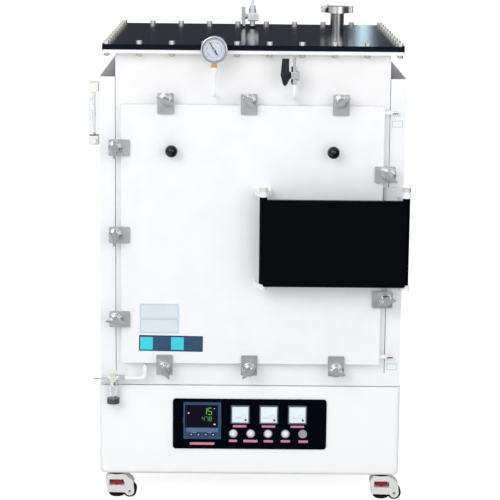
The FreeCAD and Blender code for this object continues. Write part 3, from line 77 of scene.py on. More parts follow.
def add_node(tree: Tree, kind: str, values: dict | None = None) -> bpy.types.NodeOutputs:
    """Adds one shader node with its settings and its incoming links.

    Args:
        tree: The node tree that gets the node.
        kind: The node's type name.
        values: Attributes and inputs by name or number, where a socket is linked.

    Returns:
        The new node's output sockets.
    """
    node = tree.nodes.new(kind)
    for key, value in (values or {}).items():
        if isinstance(value, Socket):
            tree.links.new(value, node.inputs[key])
        elif isinstance(key, str) and hasattr(node, key):
            setattr(node, key, value)
        else:
            node.inputs[key].default_value = value
    return node.outputs


def empty_tree(owner: bpy.types.Material | bpy.types.World) -> Tree:
    """Turns the nodes of a material or a world on and removes those that came with it.

    Args:
        owner: The material or the world.

    Returns:
        Its empty node tree.
    """
    owner.use_nodes = True
    owner.node_tree.nodes.clear()
    return owner.node_tree


class Surface(enum.Enum):
    """How a surface was made, which sets the pattern of its bump and colour."""

    SPRAYED = "sprayed"
    BRUSHED = "brushed"
    TURNED = "turned"
    CAST = "cast"
    MOULDED = "moulded"
    FIBROUS = "fibrous"


# How much a streak's pattern is stretched across it, for the surfaces that have streaks.
STREAK_STRETCH = {Surface.BRUSHED: 0.06, Surface.TURNED: 0.3}
COAT_ROUGHNESS = 0.08
BUMP_STRENGTH = 0.5


@dataclass(frozen=True)
class Finish:
    """A real material and the way its surface was made.

    Sizes are in millimetres: grain is the width of one bump of the surface, depth its height, and
    cloud the width of a patch of the slow change from colour to shade.
    """

    name: str
    colour: str
    shade: str
    roughness: float
    surface: Surface = Surface.MOULDED
    metallic: float = 0.0
    ior: float = 1.5
    specular: float = 0.5
    grain: float = 1.0
    depth: float = 0.01
    cloud: float = 60.0
    wear: float = 0.06
    coat: float = 0.0
    transmission: float = 0.0
    alpha: float = 1.0
    glow: float = 0.0

    def pattern(self, tree: Tree, where: Socket) -> Socket:
        """The height pattern of the surface.

        Args:
            tree: The material's node tree.
            where: Object coordinates in metres.

        Returns:
            A socket with heights about between zero and one.
        """
        per_metre = 1000 / self.grain
        noise = {"Scale": per_metre, "Detail": 5.0, "Vector": where}
        if self.surface in STREAK_STRETCH:
            across = per_metre * STREAK_STRETCH[self.surface]
            stretched = add_node(tree, "ShaderNodeMapping",
                                 {"Scale": (across, across, per_metre), "Vector": where})
            noise = {"Scale": 1.0, "Detail": 3.0, "Vector": stretched["Vector"]}
        elif self.surface is Surface.FIBROUS:
            noise |= {"Detail": 8.0, "Roughness": 0.75, "Distortion": 1.2}
        elif self.surface is Surface.SPRAYED:
            noise["Detail"] = 2.0
        return add_node(tree, "ShaderNodeTexNoise", noise)["Fac"]

    def make(self) -> bpy.types.Material:
        """Builds the material.

        Returns:
            The material, or the one of its name that was built before.
        """
        known = bpy.data.materials.get(self.name)
        if known:
            return known
        material = bpy.data.materials.new(self.name)
        tree = empty_tree(material)
        where = add_node(tree, "ShaderNodeTexCoord")["Object"]
        heights = self.pattern(tree, where)
        clouds = add_node(tree, "ShaderNodeTexNoise",
                          {"Scale": 1000 / self.cloud, "Detail": 4.0, "Vector": where})
        blend = add_node(tree, "ShaderNodeMapRange",
                         {"From Min": 0.35, "From Max": 0.75, "Value": clouds["Fac"]})
        tint = add_node(tree, "ShaderNodeMix", {
            "data_type": "RGBA", 0: blend["Result"], 6: linear(self.colour), 7: linear(self.shade)})
        rub = add_node(tree, "ShaderNodeMapRange", {
            "To Min": max(0.02, self.roughness - self.wear),
            "To Max": min(1.0, self.roughness + self.wear), "Value": heights})
        bump = add_node(tree, "ShaderNodeBump", {
            "Strength": BUMP_STRENGTH, "Distance": self.depth / 1000, "Height": heights})
        values = {"Base Color": tint[2], "Roughness": rub["Result"], "Normal": bump["Normal"],
                  "Metallic": self.metallic, "Coat Weight": self.coat,
                  "Transmission Weight": self.transmission, "Alpha": self.alpha}
        if self.metallic < 0.5:
            values |= {"IOR": self.ior, "Specular IOR Level": self.specular}
        if self.coat:
            values["Coat Roughness"] = COAT_ROUGHNESS
        if self.glow:
            values |= {"Emission Color": linear(self.colour), "Emission Strength": self.glow}
        shader = add_node(tree, "ShaderNodeBsdfPrincipled", values)
        add_node(tree, "ShaderNodeOutputMaterial", {"Surface": shader["BSDF"]})
        return material


# Steel sheet, powder coated: the sprayed powder leaves an even satin skin with slight orange peel.
POWDER_WHITE = Finish("steel_powder_coated_white", "#F5F7FA", "#F1F3F7", 0.36, Surface.SPRAYED,
                      grain=1.8, depth=0.02)
# The base's own batch of powder coat, a shade brighter than the casing.
POWDER_BRIGHT = Finish("steel_powder_coated_bright_white", "#FBFCFD", "#F8FAFC", 0.36,
                       Surface.SPRAYED, grain=1.8, depth=0.02)
# Welded steel, enamelled: smoother and a little warmer than the powder coat.
ENAMEL_WHITE = Finish("steel_enamelled_white", "#F5F5F6", "#F1F1F2", 0.30, Surface.SPRAYED,
                      grain=2.4, depth=0.018)
# Steel plate in black gloss enamel: it mirrors the fittings that stand on it, slightly softened.
# Its navy base colour is painted blue sheen on the black.
ENAMEL_BLACK_PAINTED_SHEEN = Finish("steel_enamelled_black_gloss_painted_sheen", "#081A3C", "#071735", 0.14, Surface.SPRAYED,
                      grain=3.0, depth=0.006, wear=0.03, specular=0.4)
# The cover's cut edge: duller and deeper than the top, a copy of its black that is painted shade.
EDGE_SHADE_BLACK = Finish("steel_edge_black_painted_shade", "#0B1522", "#09121E", 0.40, Surface.SPRAYED,
                    grain=2.0, specular=0.06)
# A dull navy line between flange and cover: a strip of painted shade under the cover's edge.
SHADE_LINE_NAVY = Finish("painted_shade_line_navy", "#1C2552", "#18204A", 0.55, grain=0.6, specular=0.1)
# Steel box section in black satin paint: deep and even, with hardly a reflection.
SATIN_BLACK = Finish("steel_painted_black_satin", "#04060A", "#030508", 0.34, Surface.SPRAYED,
                     grain=2.0, depth=0.02, specular=0.04)
# Instrument plate, screen-coated black: deep and even behind the bright instruments.
PLATE_BLACK = Finish("aluminium_plate_coated_black", "#02060F", "#02050C", 0.30, Surface.SPRAYED,
                     grain=1.2, specular=0.02)
# Zinc-plated bolts: pale, slightly yellow metal with a soft shine.
ZINC = Finish("steel_zinc_plated", "#ECEDE4", "#DEE0D4", 0.42, Surface.CAST, 0.6, grain=0.8)
# Zinc-plated nuts, tumbled: darker and warmer than the bolt heads.
ZINC_DULL = Finish("steel_zinc_plated_tumbled", "#D3CEC0", "#BFBAAC", 0.36, Surface.CAST, 0.9,
                   grain=0.8)
# Die-cast knobs, polished and chromed: bright with dark reflections.
CHROME = Finish("zinc_die_cast_chromed", "#DADCDE", "#CDCFD2", 0.12, Surface.CAST, 1.0,
                grain=2.5, depth=0.03, wear=0.05)
# Stainless plates, brushed: grey with fine streaks.
BRUSHED_STEEL = Finish("stainless_brushed", "#D0D1D1", "#BFC1C2", 0.36, Surface.BRUSHED, 1.0,
                       grain=0.6, depth=0.012)
# Stainless bar, turned: clean and bright, with faint rings.
TURNED_STEEL = Finish("stainless_turned", "#E0E3E8", "#CFD3DA", 0.20, Surface.TURNED, 1.0,
                      grain=0.6, depth=0.006)
# Stainless tube, drawn: darker, with long soft reflections.
DRAWN_TUBE = Finish("stainless_drawn_tube", "#A6A5A8", "#8F8E92", 0.24, Surface.TURNED, 1.0,
                    grain=0.8, depth=0.004, wear=0.04)
# Machined brass hexagon: warm and bright.
BRASS = Finish("brass_machined", "#E6C388", "#D5AF6E", 0.34, Surface.TURNED, 0.8, grain=0.7)
# Brass body, chromate dipped: a soft pale green yellow without hard highlights.
CHROMATED_BRASS = Finish("brass_chromate_dipped", "#E7EDD6", "#DDE5CA", 0.42, Surface.CAST, 0.35,
                         grain=0.7)
# Body of the cover's valve, nickel plated and blasted: bright, bluish and soft.
SATIN_NICKEL = Finish("brass_nickel_plated_blasted", "#EEF3F7", "#E2E8ED", 0.40, Surface.CAST,
                      0.55, grain=0.5)
# Fittings of the gas inlet, nickel plated and polished: bright with dark sides.
BRIGHT_NICKEL = Finish("brass_nickel_plated_polished", "#EDF0F3", "#E2E6EA", 0.18,
                       Surface.TURNED, 1.0, grain=2.0, depth=0.002, wear=0.03)
# Neck of the cover's valve, steel passivated: a pale straw tint.
PASSIVATED = Finish("steel_passivated_straw", "#ECE9D2", "#DFDBC2", 0.36, Surface.TURNED, 0.5,
                    grain=0.6)
# Valve in front of the chamber, stainless and polished: grey with clear reflections.
GREY_STEEL = Finish("stainless_polished_grey", "#DDE0E3", "#CDD1D5", 0.18, Surface.TURNED, 1.0,
                    grain=2.0, depth=0.002, wear=0.03)
# Axle heads of the casters, steel: dull grey.
AXLE_STEEL = Finish("steel_axle_dull", "#949296", "#88868A", 0.45, Surface.TURNED, 0.3, grain=0.5)
# Clamp ring, aluminium as cast: pale grey and slightly rough.
CAST_ALUMINIUM = Finish("aluminium_cast", "#E8E9E6", "#DADCDC", 0.26, Surface.CAST, 1.0,
                        grain=0.9, depth=0.03)
# Knob of the needle valve, zinc die cast and dark lacquered: slate with a cool highlight.
LACQUERED_SLATE = Finish("zinc_die_cast_lacquered_slate", "#4A4D5E", "#3C3F4E", 0.28,
                         Surface.CAST, grain=0.8, coat=0.2)
# Glass-filled nylon, moulded: near black with a dull grain.
NYLON_BLACK = Finish("nylon_moulded_black", "#171A27", "#131521", 0.40, grain=0.7, depth=0.02,
                     ior=1.53, specular=0.35)
# Phenolic ball, moulded and polished: black with a clear highlight.
PHENOLIC_BLACK = Finish("phenolic_polished_black", "#0C0D12", "#090A0E", 0.12, ior=1.6,
                        wear=0.03, specular=0.3)
# Rubber, moulded: dull black. On the casters' top plates the same black is painted shade.
RUBBER_BLACK_AND_SHADE = Finish("rubber_moulded_black_and_painted_shade", "#101214", "#0C0D0F", 0.72, grain=0.5, depth=0.03,
                      ior=1.52, specular=0.2)
# Caster housing, die cast and painted pale grey with a faint warm cast.
PALE_CASTING = Finish("aluminium_cast_painted_pale_grey", "#E6E3E3", "#DEDBDA", 0.40,
                      Surface.SPRAYED, grain=1.4, depth=0.03)
# Thumb wheel, ABS moulded red: clear colour with a soft shine.
ABS_RED = Finish("abs_moulded_red", "#A3232B", "#8C1A22", 0.34, ior=1.53, grain=0.8)
# Controller case, ABS moulded blue grey: matt, with a fine grain.
ABS_BLUE_GREY = Finish("abs_moulded_blue_grey", "#2E4B70", "#2A4567", 0.42, ior=1.53,
                       specular=0.25, grain=0.5)
# Controller key field, printed slate blue: lighter than the case round it.
SLATE_FIELD = Finish("key_foil_printed_slate_blue", "#587099", "#516891", 0.45, ior=1.53,
                     specular=0.25, grain=0.5)
# Meter case, ABS moulded violet grey: a thin dull frame round the bright card.
ABS_VIOLET_GREY = Finish("abs_moulded_violet_grey", "#5A5E78", "#50546D", 0.40, ior=1.53,
                         grain=0.5)
# Silicone rubber, extruded: brick red and dull.
SILICONE_RED = Finish("silicone_extruded_red", "#8E3526", "#7E2D20", 0.62, ior=1.43, depth=0.03)
# Ceramic fibre board, vacuum formed: chalky, matted and quite dull.
FIBRE_BOARD = Finish("ceramic_fibre_board", "#EAE5D8", "#DCD5C4", 0.95, Surface.FIBROUS,
                     grain=2.2, depth=0.6, specular=0.2)
# Heating element, sintered and oxidised: dark grey glaze.
ELEMENT_GLAZE = Finish("silicide_oxidised", "#5A5653", "#46423F", 0.38, Surface.CAST, ior=1.6)
# Ceramic sheath, fired: pale cream.
FIRED_CERAMIC = Finish("alumina_fired", "#E9E3D2", "#DCD4C0", 0.5, Surface.CAST, ior=1.77)
# Transformer core, varnished laminations: dark, with fine stripes.
LAMINATIONS = Finish("electrical_steel_varnished", "#3B3D42", "#2D2F33", 0.45, Surface.BRUSHED,
                     0.6, grain=0.5, depth=0.05)
# Copper winding under varnished tape: warm brown bands.
WINDING_TAPE = Finish("winding_tape_varnished", "#8A5A2E", "#754A24", 0.5, Surface.BRUSHED,
                      grain=1.2, depth=0.05)
# Flow meter ends, acetal moulded: smooth cream.
ACETAL_CREAM = Finish("acetal_moulded_cream", "#FAF9F0", "#F4F2E6", 0.35, ior=1.48)
# Knob, buttons and lenses, polycarbonate moulded: clean white under a thin gloss.
POLYCARBONATE_WHITE = Finish("polycarbonate_moulded_white", "#F2F5F7", "#EBEEF1", 0.22, ior=1.58,
                             coat=0.2)
# Dial faces, printed card: plain matt white with a cold cast.
DIAL_CARD = Finish("dial_card_printed", "#EAF7FE", "#E4F2FA", 0.6, specular=0.2)
# Gauge dial, painted tin: pale violet blue.
DIAL_TIN = Finish("dial_tin_painted_pale_blue", "#D9DDE6", "#D2D7E1", 0.5, Surface.SPRAYED,
                  grain=0.8, specular=0.2)
# Dial printing: dark grey ink, matt.
DIAL_INK = Finish("printing_ink_dark", "#3A3F46", "#343940", 0.55, specular=0.2)
# Printing ink in pale grey, for the fine lines of the dials.
PALE_INK = Finish("printing_ink_grey", "#98A2AE", "#8F99A5", 0.55, specular=0.2)
# Zero screws of the meters, lacquered: dark navy.
SCREW_NAVY = Finish("steel_lacquered_navy", "#2A3050", "#252A48", 0.4, specular=0.3)
# Screen, acrylic: black and glossy, with a violet cast.
SCREEN_BLACK = Finish("acrylic_screen_black", "#0C0C1C", "#0A0A18", 0.10, ior=1.49, specular=0.1,
                      wear=0.02)
# Lit figures and signs of the controller: they give a little light of their own.
DIGIT_GREEN = Finish("light_emitting_green", "#5AAE33", "#54A42E", 0.4, glow=0.25)
DIGIT_DIM = Finish("light_emitting_dim_green", "#6A9E4C", "#629446", 0.4, glow=0.12)
DIGIT_SIGN = Finish("light_emitting_warm_white", "#E6DAD2", "#DCD0C8", 0.4, glow=0.3)
# Clear acrylic, polished: see-through with bright edges.
CLEAR_ACRYLIC = Finish("acrylic_polished_clear", "#F6FAFD", "#F1F7FC", 0.05, ior=1.49,
                       transmission=1.0, depth=0.0, wear=0.02, alpha=0.5)
# Gauge window, thin glass: nearly all light passes straight through.
WINDOW_GLASS = Finish("window_glass_thin", "#F4F9FA", "#F0F6F8", 0.05, transmission=1.0,
                      depth=0.0, wear=0.02, alpha=0.15)
# Ring under the gauge's window, grey green and dull: painted shade where the rim shades the dial.
RIM_SHADE_GREY = Finish("gauge_rim_painted_shade_grey", "#6F7C80", "#647176", 0.6, grain=0.5)
# Keys of the controller, rubber: dark slate.
KEY_SLATE = Finish("rubber_key_slate", "#23304A", "#1F2B43", 0.5, grain=0.5, specular=0.25)


def marking_plate(name: str, colour: str, shade: str, specular: float = 0.5) -> Finish:
    """A bare aluminium plate, screen-coated: one plain colour with a fine satin skin."""
    return Finish("marking_plate_" + name, colour, shade, 0.45, Surface.SPRAYED, grain=0.6,
                  specular=specular)


PLATE_PINK = marking_plate("pink", "#DE82A6", "#D87B9F")
PLATE_PALE = marking_plate("pale", "#DCE6EE", "#D6E1EA")
PLATE_GREY = marking_plate("grey", "#B4C2CB", "#ADBCC6")
PLATE_BLUE = marking_plate("slate_blue", "#375375", "#324D6E", 0.2)
PLATE_NAVY = marking_plate("navy", "#1D2C52", "#1A284B", 0.2)
PLATE_TURQUOISE = marking_plate("turquoise", "#39D5E4", "#35CCDB")
PLATE_WHITE = marking_plate("white", "#F2F5F7", "#EDF0F3")
PLATE_CYAN = marking_plate("cyan_edge", "#8FC3D6", "#89BDD0")


class Facing(enum.Enum):
    """Which way a flat piece faces, as its right, up and outward directions."""

    FRONT = ((1, 0, 0), (0, 0, 1), (0, -1, 0))
    BACK = ((-1, 0, 0), (0, 0, 1), (0, 1, 0))
    LEFT = ((0, -1, 0), (0, 0, 1), (-1, 0, 0))
    RIGHT = ((0, 1, 0), (0, 0, 1), (1, 0, 0))
    UP = ((1, 0, 0), (0, 1, 0), (0, 0, 1))


@dataclass(frozen=True)
class Place:
    """A local frame on the furnace: an origin in front-plane millimetres, a facing and a turn."""

    x: float
    y: float
    z: float
    facing: Facing = Facing.FRONT
    turn: float = 0.0

    def matrix(self) -> Matrix:
        """Works out where the frame stands.

        Returns:
            The matrix from local millimetres to the row frame.
        """
        basis = Matrix(self.facing.value).transposed().to_4x4()
        turned = basis @ Matrix.Rotation(math.radians(self.turn), 4, "Z")
        return Matrix.Translation(at(self.x, self.y, self.z)) @ turned @ Matrix.Scale(0.001, 4)


def finish_piece(name: str, mesh: Mesh, finish: Finish, body: str = "cabinet",
                 smooth: bool = True) -> None:
    """Puts a mesh in the scene as a piece that rides on a body.

    Args:
        name: The piece's name.
        mesh: Its mesh, already in the row frame.
        finish: Its finish.
        body: The body that it rides on.
        smooth: Whether faces that meet at a shallow angle shade as one.
    """
    mesh.name = name
    mesh.materials.append(finish.make())
    piece = bpy.data.objects.new(name, mesh)
    bpy.context.scene.collection.objects.link(piece)
    if smooth:
        mesh.shade_smooth()
        mesh.set_sharp_from_angle(angle=math.radians(PIECE_CREASE))
    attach(piece, body)


def mesh_of(verts: Iterable[Point], faces: Sequence[Sequence[int]], place: Place) -> Mesh:
    """A mesh at a place, with its faces turned outward.

    Args:
        verts: Corners in local millimetres.
        faces: The corners of each face, by number.
        place: The place.

    Returns:
        The mesh in the row frame.
    """
    mesh = bpy.data.meshes.new("piece")
    matrix = place.matrix()
    mesh.from_pydata([matrix @ Vector(vert) for vert in verts], [], faces)
    work = bmesh.new()
    work.from_mesh(mesh)
    bmesh.ops.recalc_face_normals(work, faces=work.faces)
    work.to_mesh(mesh)
    work.free()
    return mesh


def round_rect(width: float, height: float, radius: float, steps: int = 6) -> Outline:
    """The outline of a rectangle with rounded corners, about its middle.

    Args:
        width: Full width.
        height: Full height.
        radius: Corner radius.
        steps: Faces on each corner.

    Returns:
        The outline's points, anticlockwise.
    """
    points = []
    for side_x, side_y, start in ((1, 1, 0), (-1, 1, 90), (-1, -1, 180), (1, -1, 270)):
        for step in range(steps + 1):
            angle = math.radians(start + 90 * step / steps)
            points.append((side_x * (width / 2 - radius) + radius * math.cos(angle),
                           side_y * (height / 2 - radius) + radius * math.sin(angle)))
    return points


def circle(radius: float, steps: int) -> Outline:
    """The outline of a circle about its middle."""
    turns = (2 * math.pi * i / steps for i in range(steps))
    return [(radius * math.cos(turn), radius * math.sin(turn)) for turn in turns]


def sheet_mesh(layers: Sequence[tuple[Outline, float]], place: Place) -> Mesh:
    """A closed solid through outlines with the same number of points, each at its height.

    Args:
        layers: Outline and height of each level, from the back to the front.
        place: Where the solid stands.

    Returns:
        The mesh.
    """
    count, last = len(layers[0][0]), len(layers) - 1
    verts = [(x, y, height) for outline, height in layers for x, y in outline]
    faces: list[Sequence[int]] = []
    for low in range(0, last * count, count):
        for i in range(count):
            j = (i + 1) % count
            faces.append((low + i, low + j, low + count + j, low + count + i))
    faces.append(tuple(reversed(range(count))))
    faces.append(tuple(range(last * count, len(verts))))
    return mesh_of(verts, faces, place)


def lathe_mesh(profile: Iterable[Pair], place: Place, steps: int) -> Mesh:
    """A turned solid, closed at both ends, from radii and heights, back to front."""
    return sheet_mesh([(circle(radius, steps), height) for radius, height in profile], place)


def ring_mesh(inner: float, outer: float, low: float, high: float, place: Place,
              steps: int = 64) -> Mesh:
    """A flat ring with square edges, such as the ring of painted shade in the gauge.

    Args:
        inner: Inner radius.
        outer: Outer radius.
        low: Height of its back.
        high: Height of its front.
        place: Its middle.
        steps: Faces round the axis.

    Returns:
        The mesh.
    """
    rows = ((inner, low), (outer, low), (outer, high), (inner, high))
    verts = [(x, y, height) for radius, height in rows for x, y in circle(radius, steps)]
    faces = []
    for row in range(4):
        near, far = row * steps, (row + 1) % 4 * steps
        for i in range(steps):
            j = (i + 1) % steps
            faces.append((near + i, near + j, far + j, far + i))
    return mesh_of(verts, faces, place)


def join(meshes: Iterable[Mesh]) -> Mesh:
    """Makes one mesh of several.

    Args:
        meshes: The meshes, which are removed.

    Returns:
        The whole.
    """
    work = bmesh.new()
    for mesh in meshes:
        work.from_mesh(mesh)
        bpy.data.meshes.remove(mesh)
    whole = bpy.data.meshes.new("piece")
    work.to_mesh(whole)
    work.free()
    return whole


def bar_mesh(x: float, y: float, length: float, width: float, low: float, high: float,
             place: Place, angle: float = 0.0) -> Mesh:
    """A thin straight bar on a face, such as a dial's tick.

    Args:
        x: Middle of the bar, to the right.
        y: Middle of the bar, upward.
        length: Its length.
        width: Its width.
        low: Height of its back.
        high: Height of its front.
        place: The face's place.
        angle: Its direction in degrees from the right.

    Returns:
        The mesh.
    """
    c, s = math.cos(math.radians(angle)), math.sin(math.radians(angle))
    corners = [(-length / 2, -width / 2), (length / 2, -width / 2),
               (length / 2, width / 2), (-length / 2, width / 2)]
    outline = [(x + px * c - py * s, y + px * s + py * c) for px, py in corners]
    return sheet_mesh([(outline, low), (outline, high)], place)


def text_mesh(words: str, size: float, x: float, y: float, height: float, place: Place) -> Mesh:
    """Raised figures on a face, for a dial's numbers.

    Args:
        words: The figures.
        size: Height of the type in millimetres.
        x: Middle, to the right.
        y: Middle, upward.
        height: Height above the place.
        place: The face's place.

    Returns:
        The mesh.
    """
    curve = bpy.data.curves.new("figures", "FONT")
    curve.body = words
    curve.size = size
    curve.align_x = "CENTER"
    curve.align_y = "CENTER"
    curve.extrude = 0.05
    carrier = bpy.data.objects.new("figures", curve)
    mesh = bpy.data.meshes.new_from_object(carrier)
    bpy.data.objects.remove(carrier)
    bpy.data.curves.remove(curve)
    mesh.transform(place.matrix() @ Matrix.Translation((x, y, height)))
    return mesh


@dataclass(frozen=True)
class Region:
    """Faces of a node with a finish of their own: those with their middle in a box."""

    finish: Finish
    x: Pair = (-FAR, FAR)
    y: Pair = (-FAR, FAR)
    z: Pair = (-FAR, FAR)

    def holds(self, spot: Point) -> bool:
        """Whether a place in front-plane millimetres lies in the box."""
        sides = zip((self.x, self.y, self.z), spot)
        return all(low <= value <= high for (low, high), value in sides)


def dress(node: str, finish: Finish, *regions: Region, edge: float = 0.0) -> None:
    """Gives a CAD node its finish, and other finishes to the faces of some regions.

    Args:
        node: The node's name.
        finish: The finish of the faces outside the regions.
        regions: The regions, of which a later one wins.
        edge: Width of the edge rounding in millimetres, or zero for none.
    """
    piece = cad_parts[node]
    mesh = piece.data
    mesh.materials.clear()
    for one in (finish, *(region.finish for region in regions)):
        mesh.materials.append(one.make())
    for face in mesh.polygons:
        face.material_index = 0
        middle = face.center * 1000
        spot = (middle.x, middle.y - FRONT_PLANE_Y, middle.z)
        for index, region in enumerate(regions):
            if region.holds(spot):
                face.material_index = index + 1
    mesh.shade_smooth()
    mesh.set_sharp_from_angle(angle=math.radians(NODE_CREASE))
    if edge:
        rounding = piece.modifiers.new("edge_round", "BEVEL")
        rounding.width = edge / 1000
        rounding.segments = 2
        rounding.limit_method = "ANGLE"
        rounding.angle_limit = math.radians(ROUNDED_FROM)


@dataclass
class Cabinet:
    """The base and the casing, with the screws of the rear panel."""

    screw_head: float = 8.0
    screw_rise: float = 2.4
    screw_xs: Sequence[float] = (-287.0, -144.0, 0.0, 144.0, 287.0)
    screw_zs: Pair = (103.0, 268.0)
    panel_back: float = 764.5
    gland_half: float = 13.0
    gland_zs: Pair = (170.0, 202.0)

    def pan_head(self, place: Place) -> Mesh:
        """A domed screw head with a round recess.

        Args:
            place: Its middle on the face, facing outward.

        Returns:
            The mesh.
        """
        r, rise = self.screw_head / 2, self.screw_rise
        return lathe_mesh([(r, 0.0), (r, rise * 0.35), (r * 0.92, rise * 0.65),
                           (r * 0.7, rise * 0.9), (r * 0.4, rise), (r * 0.36, rise * 0.55),
                           (0.02, rise * 0.5)], place, 20)

    def add_screws(self) -> None:
        """Screws along the top and the foot of the rear panel, and one at each side."""
        spots = [(x, z) for z in self.screw_zs for x in self.screw_xs]
        spots += [(x, sum(self.screw_zs) / 2) for x in (self.screw_xs[0], self.screw_xs[-1])]
        heads = [self.pan_head(Place(x, self.panel_back, z, Facing.BACK)) for x, z in spots]
        finish_piece("rear_panel_screws", join(heads), ZINC)

    def build(self) -> None:
        """Dresses the sheets and adds the screws."""
        dress("base_cabinet", POWDER_BRIGHT)
        dress("outer_casing", POWDER_WHITE, edge=0.8)
        dress("base_rear_panel", POWDER_WHITE, Region(
            NYLON_BLACK, (-self.gland_half, self.gland_half), (self.panel_back + 0.5, FAR),
            self.gland_zs))
        self.add_screws()


@dataclass
class Chamber:
    """The chamber, its cover with the bolts, and the lining with what hangs in it."""

    half_width: float = 371.5
    front: float = -31.0
    back: float = 712.0
    seam: float = 1161.0
    cover_edge: Pair = (1161.3, 1172.7)
    under_flange: Pair = (0.0, 1160.9)
    shade_line_height: float = 1.4
    shade_line_rise: float = 0.3
    probe_head_front: float = 680.0
    core_half: float = 48.0
    core_zs: Pair = (124.0, 200.0)
    winding_ys: Pair = (318.0, 444.0)

    def add_shade_line(self) -> None:
        """A thin dark line round the flange just under the cover: painted shade where the cover
        meets it.
        """
        middle, z = (self.front + self.back) / 2, self.seam - self.shade_line_height / 2
        long, deep = 2 * self.half_width, self.back - self.front
        sides = ((Place(0, self.front, z, Facing.FRONT), long),
                 (Place(0, self.back, z, Facing.BACK), long),
                 (Place(-self.half_width, middle, z, Facing.LEFT), deep),
                 (Place(self.half_width, middle, z, Facing.RIGHT), deep))
        edges = [bar_mesh(0, 0, length, self.shade_line_height, 0.0, self.shade_line_rise, place)
                 for place, length in sides]
        finish_piece("cover_shade_line", join(edges), SHADE_LINE_NAVY, smooth=False)

    def build(self) -> None:
        """Dresses the nodes and adds the line of painted shade under the cover."""
        self.add_shade_line()
        dress("vacuum_chamber", ENAMEL_WHITE, edge=0.8)
        # The cover's edge gets a duller, deeper copy of its black: painted shade.
        dress("cover_plate", ENAMEL_BLACK_PAINTED_SHEEN, Region(EDGE_SHADE_BLACK, z=self.cover_edge), edge=1.0)
        dress("cover_bolts", ZINC, Region(ZINC_DULL, z=self.under_flange), edge=0.5)
        dress("insulation_lining", FIBRE_BOARD)
        dress("heating_elements", ELEMENT_GLAZE)
        dress("thermocouple", FIRED_CERAMIC, Region(CAST_ALUMINIUM, y=(self.probe_head_front, FAR)))
        ends = ((0.0, self.winding_ys[0]), (self.winding_ys[1], FAR))
        dress("power_unit", LAMINATIONS, *[
            Region(WINDING_TAPE, (-self.core_half, self.core_half), end, self.core_zs)
            for end in ends])


def within(span: Pair, margin: float) -> Pair:
    """A span that is shorter by a margin at each end."""
    return (span[0] + margin, span[1] - margin)


@dataclass
class Marks:
    """Bare marking plates where the real thing has its labels."""

    door_face: float = -26.0
    cabinet_face: float = -0.1
    rise: float = 0.35
    sheet_xs: Pair = (-280.2, -179.9)
    sheet_zs: Pair = (444.7, 522.6)
    frame_xs: Pair = (-277.7, -182.4)
    frame_height: float = 35.1
    frame_line: float = 1.3
    strip_xs: Pair = (-281.5, -120.4)
    strip_zs: Pair = (399.5, 440.2)
    strip_line: float = 2.1
    strip_turn: float = -0.7
    square_width: float = 32.0
    square_zs: Pair = (403.6, 436.1)
    nozzle_plate: Pair = (26.4, 16.6)
    nozzle_plate_line: float = 1.2

    def plate(self, name: str, xs: Pair, zs: Pair, y: float, finish: Finish,
              body: str = "cabinet", radius: float = 1.5, lift: float = 0.0,
              turn: float = 0.0) -> None:
        """One thin plate with rounded corners.

        Args:
            name: The piece's name.
            xs: Left and right edge.
            zs: Lower and upper edge.
            y: Depth of the face that it is on.
            finish: Its finish.
            body: The body that it rides on.
            radius: Corner radius.
            lift: How far its back stands off the face.
            turn: Degrees that it is turned in its plane.
        """
        outline = round_rect(xs[1] - xs[0], zs[1] - zs[0], radius)
        place = Place((xs[0] + xs[1]) / 2, y, (zs[0] + zs[1]) / 2, Facing.FRONT, turn)
        mesh = sheet_mesh([(outline, lift), (outline, lift + self.rise)], place)
        finish_piece(name, mesh, finish, body)

    def add_door_sheet(self) -> None:
        """The pale sheet with its two thin frames."""
        face, rise = self.door_face, self.rise
        self.plate("door_sheet", self.sheet_xs, self.sheet_zs, face, PLATE_PALE, "door")
        for name, low in (("lower", 447.2), ("upper", 485.0)):
            zs = (low, low + self.frame_height)
            self.plate("door_frame_" + name, self.frame_xs, zs, face, PLATE_GREY, "door", 4.0, rise)
            self.plate("door_field_" + name, within(self.frame_xs, self.frame_line),
                       within(zs, self.frame_line), face, PLATE_PALE, "door", 3.0, rise * 2)

    def add_door_strip(self) -> None:
        """The slate blue strip with its two turquoise squares, turned a little in its plane."""
        face, rise, turn = self.door_face, self.rise, self.strip_turn
        self.plate("door_strip", self.strip_xs, self.strip_zs, face, PLATE_NAVY, "door", 2.0,
                   turn=turn)
        self.plate("door_strip_field", within(self.strip_xs, self.strip_line),
                   within(self.strip_zs, self.strip_line), face, PLATE_BLUE, "door", 1.0, rise, turn)
        for name, x in (("left", -278.6), ("right", -200.6)):
            self.plate("door_square_" + name, (x, x + self.square_width), self.square_zs, face,
                       PLATE_TURQUOISE, "door", 1.0, rise * 2, turn)

    def build(self) -> None:
        """Adds the plates on the door and beside the nozzles."""
        self.add_door_sheet()
        self.add_door_strip()
        line = self.nozzle_plate_line
        for name, x, z in (("upper", 346.5, 970.6), ("lower", 347.6, 349.0)):
            xs, zs = (x, x + self.nozzle_plate[0]), (z, z + self.nozzle_plate[1])
            self.plate("nozzle_plate_" + name, xs, zs, self.cabinet_face, PLATE_CYAN)
            self.plate("nozzle_plate_face_" + name, within(xs, line), within(zs, line),
                       self.cabinet_face, PLATE_WHITE, radius=1.0, lift=self.rise)


@dataclass
class ClampKnob:
    """A chromed hand screw with a stepped head and a waisted wing bar."""

    name: str

    def build(self) -> None:
        """Dresses the screw."""
        dress("clamp_knob_" + self.name, CHROME, edge=0.5)


